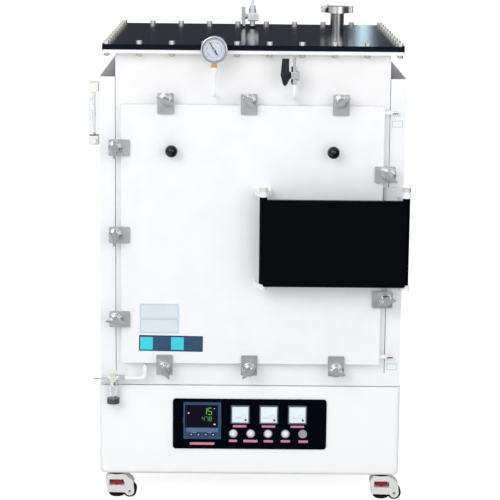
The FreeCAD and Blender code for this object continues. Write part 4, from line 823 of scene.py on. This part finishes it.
@dataclass
class Door:
    """The door with its plug, seal, clamp plates, pulls and nozzles."""

    bolt_head_xs: Pair = (10.0, 50.0)
    bolt_head_bottom: float = 818.2
    nozzle_start: float = 346.2

    def build(self) -> None:
        """Dresses the nodes of the door."""
        dress("door_panel", POWDER_WHITE, Region(
            ZINC, self.bolt_head_xs, z=(self.bolt_head_bottom, FAR)), edge=0.8)
        dress("door_plug", FIBRE_BOARD)
        dress("door_seal", SILICONE_RED)
        dress("door_lugs", BRUSHED_STEEL, edge=0.6)
        dress("door_pulls", PHENOLIC_BLACK)
        dress("water_nozzles", TURNED_STEEL, Region(POWDER_WHITE, (-FAR, self.nozzle_start)))


@dataclass
class ArmSet:
    """The swing arm and its bracket on the cabinet."""

    bolt_head_left: float = 300.0
    bolt_head_bottom: float = 820.6

    def build(self) -> None:
        """Dresses the arm and the bracket."""
        dress("swing_arm", SATIN_BLACK, edge=0.8)
        dress("arm_bracket", POWDER_WHITE, Region(
            ZINC, (self.bolt_head_left, FAR), z=(self.bolt_head_bottom, FAR)), edge=0.8)


# The lit segments of each figure: a to f go clockwise from the top, and g is the middle one.
SEGMENTS = {"1": "bc", "4": "bcfg", "5": "acdfg", "7": "abc", "8": "abcdefg"}


@dataclass
class Digits:
    """A row of seven-segment figures that ends at the right."""

    figures: str
    height: float
    width: float
    stroke: float
    end: float
    middle: float
    gap: float = 1.6
    low: float = 0.4
    high: float = 0.65

    def mesh(self, place: Place) -> Mesh:
        """Builds the segments that are lit.

        Args:
            place: The screen's place.

        Returns:
            The mesh.
        """
        parts = []
        half, tall, y = self.width / 2, self.height / 2, self.middle
        pitch = self.width + self.stroke + self.gap
        for index, figure in enumerate(self.figures):
            x = self.end - (len(self.figures) - 1 - index) * pitch
            spots = {"a": (x, y + tall), "g": (x, y), "d": (x, y - tall),
                     "b": (x + half, y + tall / 2), "c": (x + half, y - tall / 2),
                     "f": (x - half, y + tall / 2), "e": (x - half, y - tall / 2)}
            for letter in SEGMENTS[figure]:
                length, angle = (self.width, 0.0) if letter in "agd" else (tall, 90.0)
                parts.append(bar_mesh(*spots[letter], length - self.stroke * 0.4, self.stroke,
                                      self.low, self.high, place, angle))
        return join(parts)


@dataclass
class Panel:
    """The instrument plate with its controller, meters and round controls."""

    face: float = -3.0
    controller_x: float = -121.2
    controller_front: float = -11.0
    screen_z: float = 225.5
    screen_front: float = -8.5
    screen_size: Pair = (79.6, 59.6)
    sheet: float = 0.4
    printing: float = 0.15
    key_field: Sequence[float] = (0.0, 12.0, 80.0, 10.6)
    key_front: float = -12.2
    key_back: float = -11.05
    key_half: float = 36.0
    key_zs: Pair = (170.0, 185.0)
    key_xs: Sequence[float] = (-28.05, -9.35, 9.35, 28.05)
    key_z: float = 177.5
    key_dot: float = 1.6
    case_back: float = 0.5
    latch_reach: Pair = (48.1, 60.0)
    latch_zs: Pair = (200.0, 226.0)
    meter_xs: Sequence[float] = (-24.2, 48.8, 121.8)
    meter_z: float = 230.0
    meter_dial: float = -7.0
    meter_card: float = 43.6
    meter_line: Sequence[float] = (-4.9, -8.5, 16.5, 1.0)
    meter_ring: Pair = (4.9, 5.6)
    meter_ring_spot: Pair = (8.6, -5.3)
    meter_cap: Sequence[Pair] = ((2.8, 0.4), (2.8, 1.0), (2.2, 1.3))
    meter_cap_spot: Pair = (13.9, -14.2)
    control_xs: Sequence[float] = (-41.7, 2.75, 47.2, 91.65, 136.1)
    control_z: float = 179.5
    lens_radius: float = 8.6
    lens_back: float = -6.6
    lens_zs: Pair = (100.0, 300.0)
    control_ring: Pair = (5.9, 6.6)
    control_ring_depth: float = 1.2
    lamp_front: float = -9.2
    button_front: float = -7.6
    strip_trim: float = 0.6

    def add_print(self, name: str, mesh: Mesh, finish: Finish) -> None:
        """A flat piece on the controller, with sharp edges."""
        finish_piece("controller_" + name, mesh, finish, smooth=False)

    def add_screen(self) -> None:
        """The screen's face with its figures and pale signs."""
        place = Place(self.controller_x, self.screen_front, self.screen_z)
        outline = round_rect(*self.screen_size, 1.0)
        screen = sheet_mesh([(outline, 0.0), (outline, self.sheet)], place)
        finish_piece("controller_screen", screen, SCREEN_BLACK)
        self.add_print("screen_edge", bar_mesh(-42.2, 0.0, 3.6, 61.0, 2.5, 2.65, place),
                       SCREEN_BLACK)
        self.add_print("digits", Digits("15", 17.0, 9.0, 1.9, 19.0, 13.0).mesh(place), DIGIT_GREEN)
        self.add_print("digits_small", Digits("478", 10.5, 6.2, 1.1, 20.5, -7.0).mesh(place),
                       DIGIT_DIM)
        signs = ((-35, 8, 4.6, 2.0), (31.5, -21.5, 5.6, 2.2), (30.5, 20, 2.4, 1.4))
        self.add_print("signs", join(bar_mesh(*sign, self.sheet, 0.6, place) for sign in signs),
                       DIGIT_SIGN)

    def add_keys(self) -> None:
        """The light field over the keys, its two lines, and the bright dots of the keys."""
        place = Place(self.controller_x, self.controller_front, self.key_z)
        self.add_print("key_field", bar_mesh(*self.key_field, 0.0, self.printing, place),
                       SLATE_FIELD)
        lines = ((-22.8, 5.7, 14.5, 0.9), (17.9, 5.7, 13.3, 0.9))
        self.add_print("lines", join(bar_mesh(*line, 0.0, self.printing, place)
                                     for line in lines), PLATE_GREY)
        dots = [lathe_mesh([(self.key_dot, 0.0), (self.key_dot, self.printing)],
                           Place(self.controller_x + x, self.key_front, self.key_z), 16)
                for x in self.key_xs]
        self.add_print("key_dots", join(dots), PLATE_PALE)

    def add_controller(self) -> None:
        """The controller's case, screen and keys."""
        x = self.controller_x
        near, beyond = self.latch_reach
        dress("temperature_controller", ABS_BLUE_GREY,
              Region(NYLON_BLACK, y=(self.case_back, FAR)),
              Region(KEY_SLATE, (x - self.key_half, x + self.key_half),
                     (self.key_front - self.sheet, self.key_back), self.key_zs),
              Region(KEY_SLATE, (x - beyond, x - near), z=self.latch_zs),
              Region(KEY_SLATE, (x + near, x + beyond), z=self.latch_zs), edge=0.5)
        self.add_screen()
        self.add_keys()

    def add_meters(self) -> None:
        """Dial cards, lines, zero screws and pivot caps of the panel meters."""
        dress("panel_meters", ABS_VIOLET_GREY, edge=0.5)
        cards, lines, rings, caps = [], [], [], []
        outline = round_rect(self.meter_card, self.meter_card, 1.2)
        for x in self.meter_xs:
            place = Place(x, self.meter_dial, self.meter_z)
            pivot, corner = (Place(x + right, self.meter_dial, self.meter_z + up)
                             for right, up in (self.meter_ring_spot, self.meter_cap_spot))
            cards.append(sheet_mesh([(outline, 0.0), (outline, self.sheet)], place))
            lines.append(bar_mesh(*self.meter_line, self.sheet, 0.6, place))
            rings.append(ring_mesh(*self.meter_ring, self.sheet, 0.55, pivot, 32))
            caps.append(lathe_mesh(self.meter_cap, corner, 24))
        finish_piece("meter_cards", join(cards), DIAL_CARD)
        finish_piece("meter_lines", join(lines), PALE_INK, smooth=False)
        finish_piece("meter_rings", join(rings), PLATE_GREY, smooth=False)
        finish_piece("meter_caps", join(caps), SCREW_NAVY)

    def add_controls(self) -> None:
        """Finishes of the round controls, and a thin ring on each lamp and button."""
        dress("bezels_and_lamps", TURNED_STEEL, *[
            Region(POLYCARBONATE_WHITE, (x - self.lens_radius, x + self.lens_radius),
                   (-FAR, self.lens_back), self.lens_zs) for x in self.control_xs[:2]])
        controls = (("lamp_1", self.lamp_front, "cabinet"), ("lamp_2", self.lamp_front, "cabinet"),
                    ("push_button_1", self.button_front, "push_button_1"),
                    ("push_button_2", self.button_front, "push_button_2"))
        for x, (name, front, body) in zip(self.control_xs, controls):
            ring = ring_mesh(*self.control_ring, -self.control_ring_depth, 0.0,
                             Place(x, front, self.control_z), 32)
            finish_piece("control_ring_" + name, ring, PLATE_GREY, body)
        dress("push_button_1", POLYCARBONATE_WHITE)
        dress("push_button_2", POLYCARBONATE_WHITE)
        dress("key_switch", TURNED_STEEL)

    def add_strips(self) -> None:
        """Plain pink plates under the meters, the controls and the controller."""
        spans = (((-42.6, -8.7), (194.4, 201.6)), ((31.2, 65.6), (194.4, 201.2)),
                 ((104.7, 139.6), (194.4, 201.0)), ((-52.7, -31.8), (155.4, 162.7)),
                 ((-15.6, 20.7), (155.0, 162.7)), ((36.5, 59.9), (155.1, 162.1)),
                 ((80.3, 103.8), (155.5, 162.5)), ((125.7, 149.9), (154.6, 162.1)),
                 ((-152.8, -90.1), (147.4, 155.1)))
        for number, (xs, zs) in enumerate(spans, 1):
            Marks().plate("panel_strip_%d" % number, xs, within(zs, self.strip_trim), self.face,
                          PLATE_PINK, radius=0.8)

    def build(self) -> None:
        """Dresses the plate and adds the instruments' faces."""
        dress("control_panel", PLATE_BLACK)
        self.add_controller()
        self.add_meters()
        self.add_controls()
        self.add_strips()


@dataclass
class Gauge:
    """The dial gauge in front of the chamber."""

    x: float = -96.0
    z: float = 1163.5
    dial: float = -58.0
    window: float = -62.4
    radius: float = 29.5
    play: float = 0.05
    start: float = 225.0
    sweep: float = 270.0
    ticks: int = 50
    tick_margin: float = 2.5
    tick_width: float = 0.8
    long_tick: float = 4.5
    middle_tick: float = 3.2
    short_tick: float = 1.8
    scale_ring: Pair = (18.4, 19.3)
    figures: int = 5
    figure_size: float = 5.0
    figure_ring: float = 0.58
    rim_shade_width: float = 1.5
    pointer_turn: float = 123.7
    tail_length: float = 15.0
    tail_width: float = 2.6
    pipe_top: float = 1120.2
    socket_zs: Pair = (1119.8, 1131.0)

    def add_dial(self) -> None:
        """The dial card with its scale and figures."""
        place, r = Place(self.x, self.dial, self.z), self.radius
        card = lathe_mesh([(r - 0.1, 0.0), (r - 0.1, 0.4)], place, 64)
        finish_piece("gauge_card", card, DIAL_TIN)
        lines = []
        for i in range(self.ticks + 1):
            angle = self.start - self.sweep * i / self.ticks
            length = self.middle_tick if i % 5 == 0 else self.short_tick
            length = self.long_tick if i % 10 == 0 else length
            middle, way = r - self.tick_margin - length / 2, math.radians(angle)
            lines.append(bar_mesh(middle * math.cos(way), middle * math.sin(way), length,
                                  self.tick_width, 0.4, 0.5, place, angle))
        for i in range(self.figures + 1):
            way = math.radians(self.start - self.sweep * i / self.figures)
            ring = self.figure_ring * r
            lines.append(text_mesh(str(2 * i), self.figure_size, ring * math.cos(way),
                                   ring * math.sin(way), 0.4, place))
        lines.append(ring_mesh(*self.scale_ring, 0.4, 0.5, place))
        finish_piece("gauge_scale", join(lines), PALE_INK, smooth=False)

    def add_glass(self) -> None:
        """The flat glass in the rim, with a grey ring of painted shade under it."""
        r = self.radius - self.play
        glass = lathe_mesh([(r, 0.0), (r, 1.0)], Place(self.x, self.window, self.z), 64)
        finish_piece("gauge_glass", glass, WINDOW_GLASS)
        ring = ring_mesh(self.radius - self.rim_shade_width, r, 0.4, 3.9,
                         Place(self.x, self.dial, self.z))
        finish_piece("gauge_rim_shade_ring", ring, RIM_SHADE_GREY)

    def add_pointer_ends(self) -> None:
        """The pointer's broad tail and its hub, which turn with it."""
        place, way = Place(self.x, self.dial, self.z), math.radians(self.pointer_turn)
        back = -self.tail_length / 2
        tail = bar_mesh(back * math.cos(way), back * math.sin(way), self.tail_length,
                        self.tail_width, 2.0, 2.9, place, self.pointer_turn)
        finish_piece("gauge_pointer_tail", tail, DIAL_INK, "gauge_pointer", False)
        hub = lathe_mesh([(2.0, 3.45), (2.0, 3.9), (1.2, 4.1)], place, 20)
        finish_piece("gauge_pointer_hub", hub, POLYCARBONATE_WHITE,
                     "gauge_pointer")

    def build(self) -> None:
        """Dresses the gauge and adds its dial, glass and pointer ends."""
        dress("gauge_body", TURNED_STEEL, Region(POWDER_WHITE, z=(0, self.pipe_top)),
              Region(BRASS, z=self.socket_zs))
        dress("gauge_pointer", DIAL_INK)
        self.add_dial()
        self.add_glass()
        self.add_pointer_ends()


@dataclass
class Fittings:
    """Valves, vacuum port, gas inlet and flow meter."""

    vent_pipe_top: float = 1080.2
    top_neck_xs: Pair = (-8.0, 8.4)
    top_neck_zs: Pair = (1173.1, 1190.9)
    collar_spot: Point = (0.2, 571.0, 1173.0)
    collar: Sequence[Pair] = ((9.0, 0.0), (9.0, 4.5), (8.4, 5.0))
    port_tube_top: float = 1214.4
    inlet_pipe_start: float = -317.4
    inlet_body_xs: Pair = (-356.6, -337.9)
    inlet_body_bottom: float = 316.5
    meter_tube_zs: Pair = (940.0, 1050.0)
    meter_outlet: tuple[Pair, Pair, Pair] = ((-400.6, -392.0), (31.0, 39.1), (940.02, 948.2))
    meter_face: float = -402.0
    tick_y: float = 14.0
    tick_spots: Sequence[Pair] = ((1032, 3.0), (1005, 4.5), (984, 3.0), (966, 3.0))

    def dress_valves(self) -> None:
        """The valve in front of the chamber and the one on the cover, with its rubber collar."""
        dress("vent_valve_body", GREY_STEEL, Region(POWDER_WHITE, z=(0, self.vent_pipe_top)),
              edge=0.4)
        dress("vent_valve_handle", NYLON_BLACK, edge=2.5)
        dress("top_valve_body", SATIN_NICKEL, Region(
            PASSIVATED, self.top_neck_xs, z=self.top_neck_zs), edge=0.4)
        collar = lathe_mesh(self.collar, Place(*self.collar_spot, Facing.UP), 32)
        finish_piece("top_valve_gasket", collar, RUBBER_BLACK_AND_SHADE)
        dress("top_valve_handle", BRUSHED_STEEL, edge=0.5)

    def dress_flow_meter(self) -> None:
        """The clear body with its cream ends, its outlet, and the ticks of its scale."""
        low, high = self.meter_tube_zs
        dress("flow_meter", CLEAR_ACRYLIC, Region(ACETAL_CREAM, z=(0, low + 0.01)),
              Region(ACETAL_CREAM, z=(high - 0.01, FAR)),
              Region(TURNED_STEEL, *self.meter_outlet))
        dress("flow_meter_knob", POLYCARBONATE_WHITE)
        ticks = [bar_mesh(0, 0, length, 1.1, 0.0, 0.1, Place(self.meter_face, self.tick_y, z))
                 for z, length in self.tick_spots]
        finish_piece("flow_meter_ticks", join(ticks), PALE_INK, smooth=False)

    def build(self) -> None:
        """Dresses the fittings."""
        self.dress_valves()
        dress("vacuum_port", DRAWN_TUBE, Region(TURNED_STEEL, z=(self.port_tube_top, FAR)))
        dress("port_clamp", CAST_ALUMINIUM, edge=0.6)
        dress("gas_inlet", BRIGHT_NICKEL, Region(POWDER_WHITE, (self.inlet_pipe_start, FAR)),
              Region(CHROMATED_BRASS, self.inlet_body_xs, z=(self.inlet_body_bottom, FAR)),
              edge=0.4)
        dress("needle_valve_knob", LACQUERED_SLATE, edge=0.4)
        self.dress_flow_meter()


@dataclass
class Caster:
    """One levelling caster."""

    name: str
    x: float
    y: float
    plate_half: float = 21.0
    plate_bottom: float = 63.01
    axle_reach: Pair = (29.5, 37.5)
    axle_zs: Pair = (14.0, 22.0)
    axle_head: float = 19.05
    pad_top: float = 10.1

    def build(self) -> None:
        """Dresses the housing, wheel and leveller."""
        heads = ((-FAR, self.y - self.axle_head), (self.y + self.axle_head, FAR))
        axle_xs = (self.x + self.axle_reach[0], self.x + self.axle_reach[1])
        # Black on the housing's top plate is painted shade, under the base.
        plate = Region(RUBBER_BLACK_AND_SHADE, (self.x - self.plate_half, self.x + self.plate_half),
                       z=(self.plate_bottom, FAR))
        dress(self.name + "_fork", PALE_CASTING, plate, *[
            Region(AXLE_STEEL, axle_xs, head, self.axle_zs) for head in heads], edge=0.6)
        dress(self.name + "_wheel", RUBBER_BLACK_AND_SHADE)
        dress(self.name + "_leveller", ABS_RED, Region(RUBBER_BLACK_AND_SHADE, z=(0, self.pad_top)))


# The inputs of a ramp: what it follows, where it starts and ends, and its level at each.
RAMP = ("Value", "From Min", "From Max", "To Min", "To Max")


@dataclass
class Studio:
    """Floor, lamps, world and the camera at the photograph's viewing angle.

    The floor is the backdrop too: floor_seen is its brightness to the camera and floor_card that
    of its bright cards in shiny surfaces. The world gives room_light as a light, and shiny
    surfaces see its window strip where X is window_slope times Y.
    """

    focal: float = 136.336
    camera: Point = (-29.6, -4679.2, 1552.9)
    yaw: float = 0.32
    pitch: float = -10.84
    roll: float = 0.57
    floor_half: float = 30.0
    floor_seen: float = 0.83
    floor_card: float = 0.95
    room_light: float = 0.63
    window_slope: float = 0.064

    def add_camera(self) -> None:
        """The camera, fitted to the photograph's perspective."""
        data = bpy.data.cameras.new("camera")
        data.sensor_width = 36.0
        data.lens = self.focal
        data.clip_start = 0.1
        data.clip_end = 60.0
        camera = bpy.data.objects.new("camera", data)
        bpy.context.scene.collection.objects.link(camera)
        yaw, pitch, roll = (math.radians(a) for a in (self.yaw, self.pitch, self.roll))
        ahead = Vector((math.sin(yaw) * math.cos(pitch), math.cos(yaw) * math.cos(pitch),
                        math.sin(pitch)))
        level = ahead.cross(Vector((0, 0, 1))).normalized()
        above = level.cross(ahead)
        right = level * math.cos(roll) + above * math.sin(roll)
        up = above * math.cos(roll) - level * math.sin(roll)
        turn = Matrix((right, up, -ahead)).transposed().to_4x4()
        camera.matrix_world = Matrix.Translation(at(*self.camera)) @ turn
        bpy.context.scene.camera = camera

    def floor_in_metal(self, tree: Tree) -> Socket:
        """How bright shiny surfaces see each place of the floor.

        The floor dims towards the object and to the right. Three bright cards stand out of it:
        one in front on the left, one aside on the left, and one far in front.

        Args:
            tree: The floor's node tree.

        Returns:
            A socket with the brightness.
        """
        where = add_node(tree, "ShaderNodeNewGeometry")["Position"]
        spot = add_node(tree, "ShaderNodeSeparateXYZ", {0: where})
        x, y = spot["X"], spot["Y"]
        ratio = add_node(tree, "ShaderNodeMath", {"operation": "DIVIDE", 0: x, 1: y})[0]
        rows = {"front": (y, -1.0, -0.5, 0.52, 0.15), "right": (ratio, -0.5, -0.25, 0.1, 1.0),
                "left": (ratio, 0.24, 0.32, 0.0, 1.0), "beyond": (y, -0.5, -0.8, 0.0, 1.0),
                "aside": (x, -0.5, -0.65, 0.0, 1.0), "behind": (y, -1.0, -0.8, 0.0, 1.0),
                "far": (y, -10.6, -11.6, 0.0, 1.0)}
        level = {name: add_node(tree, "ShaderNodeMapRange", dict(zip(RAMP, row)))["Result"]
                 for name, row in rows.items()}
        for name, operation, first, second in (
                ("dimmed", "MULTIPLY", "front", "right"),
                ("card_left", "MULTIPLY", "left", "beyond"),
                ("card_aside", "MULTIPLY", "aside", "behind"),
                ("cards", "MAXIMUM", "card_left", "card_aside"),
                ("bright", "MAXIMUM", "cards", "far")):
            level[name] = add_node(tree, "ShaderNodeMath", {
                "operation": operation, 0: level[first], 1: level[second]})[0]
        return add_node(tree, "ShaderNodeMix", {
            "data_type": "FLOAT", 0: level["bright"], 2: level["dimmed"], 3: self.floor_card})[0]

    def add_floor(self) -> None:
        """A pale floor that takes the object's soft shadow."""
        mesh = bpy.data.meshes.new("floor")
        half = self.floor_half
        mesh.from_pydata([(-half, -half, 0), (half, -half, 0), (half, half, 0), (-half, half, 0)],
                         [], [(0, 1, 2, 3)])
        floor = bpy.data.objects.new("floor", mesh)
        bpy.context.scene.collection.objects.link(floor)
        material = bpy.data.materials.new("floor_card_white")
        tree = empty_tree(material)
        path = add_node(tree, "ShaderNodeLightPath")
        glossy = path["Is Glossy Ray"]
        seen = add_node(tree, "ShaderNodeMath", {
            "operation": "MAXIMUM", 0: path["Is Camera Ray"], 1: path["Is Transmission Ray"]})[0]
        seen = add_node(tree, "ShaderNodeMath", {"operation": "MAXIMUM", 0: seen, 1: glossy})[0]
        card = add_node(tree, "ShaderNodeBsdfDiffuse", {"Color": (0.8, 0.8, 0.8, 1)})[0]
        matt = add_node(tree, "ShaderNodeMix", {
            "data_type": "RGBA", 0: glossy, 6: (0.5, 0.5, 0.5, 1), 7: (0, 0, 0, 1)})[2]
        soft = add_node(tree, "ShaderNodeBsdfDiffuse", {"Color": matt})[0]
        level = add_node(tree, "ShaderNodeMix", {
            "data_type": "FLOAT", 0: glossy, 2: self.floor_seen, 3: self.floor_in_metal(tree)})[0]
        glow = add_node(tree, "ShaderNodeEmission", {"Strength": level})[0]
        lit = add_node(tree, "ShaderNodeAddShader", {0: soft, 1: glow})[0]
        mixed = add_node(tree, "ShaderNodeMixShader", {0: seen, 1: card, 2: lit})[0]
        add_node(tree, "ShaderNodeOutputMaterial", {"Surface": mixed})
        mesh.materials.append(material)

    def add_world(self) -> None:
        """A white surround, dimmer as a light, with a dark band and a window strip to mirror."""
        world = bpy.data.worlds.new("studio")
        bpy.context.scene.world = world
        tree = empty_tree(world)
        path = add_node(tree, "ShaderNodeLightPath")
        glossy = path["Is Glossy Ray"]
        direct = add_node(tree, "ShaderNodeMath", {
            "operation": "MAXIMUM", 0: path["Is Camera Ray"], 1: path["Is Transmission Ray"]})[0]
        where = add_node(tree, "ShaderNodeTexCoord")["Generated"]
        way = add_node(tree, "ShaderNodeSeparateXYZ", {0: where})
        slope = add_node(tree, "ShaderNodeMath", {"operation": "DIVIDE", 0: way["X"], 1: way["Y"]})
        aside = add_node(tree, "ShaderNodeMath", {
            "operation": "SUBTRACT", 0: slope[0], 1: self.window_slope})[0]
        away = add_node(tree, "ShaderNodeMath", {"operation": "ABSOLUTE", 0: aside})[0]
        rows = {"level": (way["Y"], -0.2, 0.2, 0.5, 0.038),
                "height": (way["Z"], 0.14, 0.5, 0.0, 1.0),
                "flag": (way["X"], 0.4, 0.75, 1.0, 0.15),
                "strip": (away, 0.0012, 0.0048, 1.95, 0.0)}
        ramp = {name: add_node(tree, "ShaderNodeMapRange", dict(zip(RAMP, row)))["Result"]
                for name, row in rows.items()}
        room = add_node(tree, "ShaderNodeMix", {
            "data_type": "FLOAT", 0: ramp["height"], 2: ramp["level"], 3: 1.0})[0]
        flagged = add_node(tree, "ShaderNodeMath", {
            "operation": "MULTIPLY", 0: room, 1: ramp["flag"]})[0]
        behind = add_node(tree, "ShaderNodeMath", {
            "operation": "GREATER_THAN", 0: way["Y"], 1: 0.0})[0]
        window = add_node(tree, "ShaderNodeMath", {
            "operation": "MULTIPLY", 0: ramp["strip"], 1: behind})[0]
        mirrored = add_node(tree, "ShaderNodeMath", {"operation": "ADD", 0: flagged, 1: window})[0]
        indirect = add_node(tree, "ShaderNodeMix", {
            "data_type": "FLOAT", 0: glossy, 2: self.room_light, 3: mirrored})[0]
        strength = add_node(tree, "ShaderNodeMix", {
            "data_type": "FLOAT", 0: direct, 2: indirect, 3: 1.0})[0]
        tinted = add_node(tree, "ShaderNodeMath", {
            "operation": "MULTIPLY", 0: window, 1: glossy})[0]
        colour = add_node(tree, "ShaderNodeMix", {
            "data_type": "RGBA", 0: tinted, 6: (1, 1, 1, 1), 7: (0.66, 0.87, 1.0, 1)})[2]
        light = add_node(tree, "ShaderNodeBackground", {"Color": colour, "Strength": strength})[0]
        add_node(tree, "ShaderNodeOutputWorld", {"Surface": light})

    def add_lamp(self, name: str, place: Point, target: Point, size: Pair, power: float) -> None:
        """One soft box.

        Args:
            name: The lamp's name.
            place: Where it stands, in front-plane millimetres.
            target: What it points at.
            size: Width and height in metres.
            power: Its power in watts.
        """
        data = bpy.data.lights.new(name, "AREA")
        data.shape = "RECTANGLE"
        data.size, data.size_y = size
        data.energy = power
        lamp = bpy.data.objects.new(name, data)
        bpy.context.scene.collection.objects.link(lamp)
        lamp.location = at(*place)
        lamp.rotation_mode = "QUATERNION"
        lamp.rotation_quaternion = (at(*target) - at(*place)).to_track_quat("-Z", "Y")
        lamp.visible_camera = False

    def build(self) -> None:
        """Sets up the whole stage."""
        bpy.context.scene.view_settings.view_transform = "Standard"
        self.add_camera()
        self.add_floor()
        self.add_world()
        self.add_lamp("key", (-2000, -3900, 3000), (0, 0, 650), (3.0, 2.6), 84.0)
        self.add_lamp("fill", (2200, -3600, 1900), (0, 0, 600), (2.6, 2.4), 36.0)


def main() -> None:
    """Builds the sub-assemblies in order and reports each."""
    logging.basicConfig(level=logging.INFO, format="%(message)s")
    casters = [Caster("caster_%s_%s" % (row, side), x, y)
               for row, y in (("front", 30.0), ("rear", 732.0))
               for side, x in (("left", -342.0), ("right", 342.0))]
    knobs = [ClampKnob("%s_%d" % (side, number))
             for side, count in (("top", 3), ("bottom", 3), ("left", 3), ("right", 2))
             for number in range(1, count + 1)]
    for part in [Studio(), Cabinet(), Chamber(), Door(), ArmSet(), Marks(), Panel(), Gauge(),
                 Fittings(), *knobs, *casters]:
        part.build()
        LOG.info("built %s %s", type(part).__name__, getattr(part, "name", ""))
    bpy.context.view_layer.update()


if __name__ == "__main__":
    main()
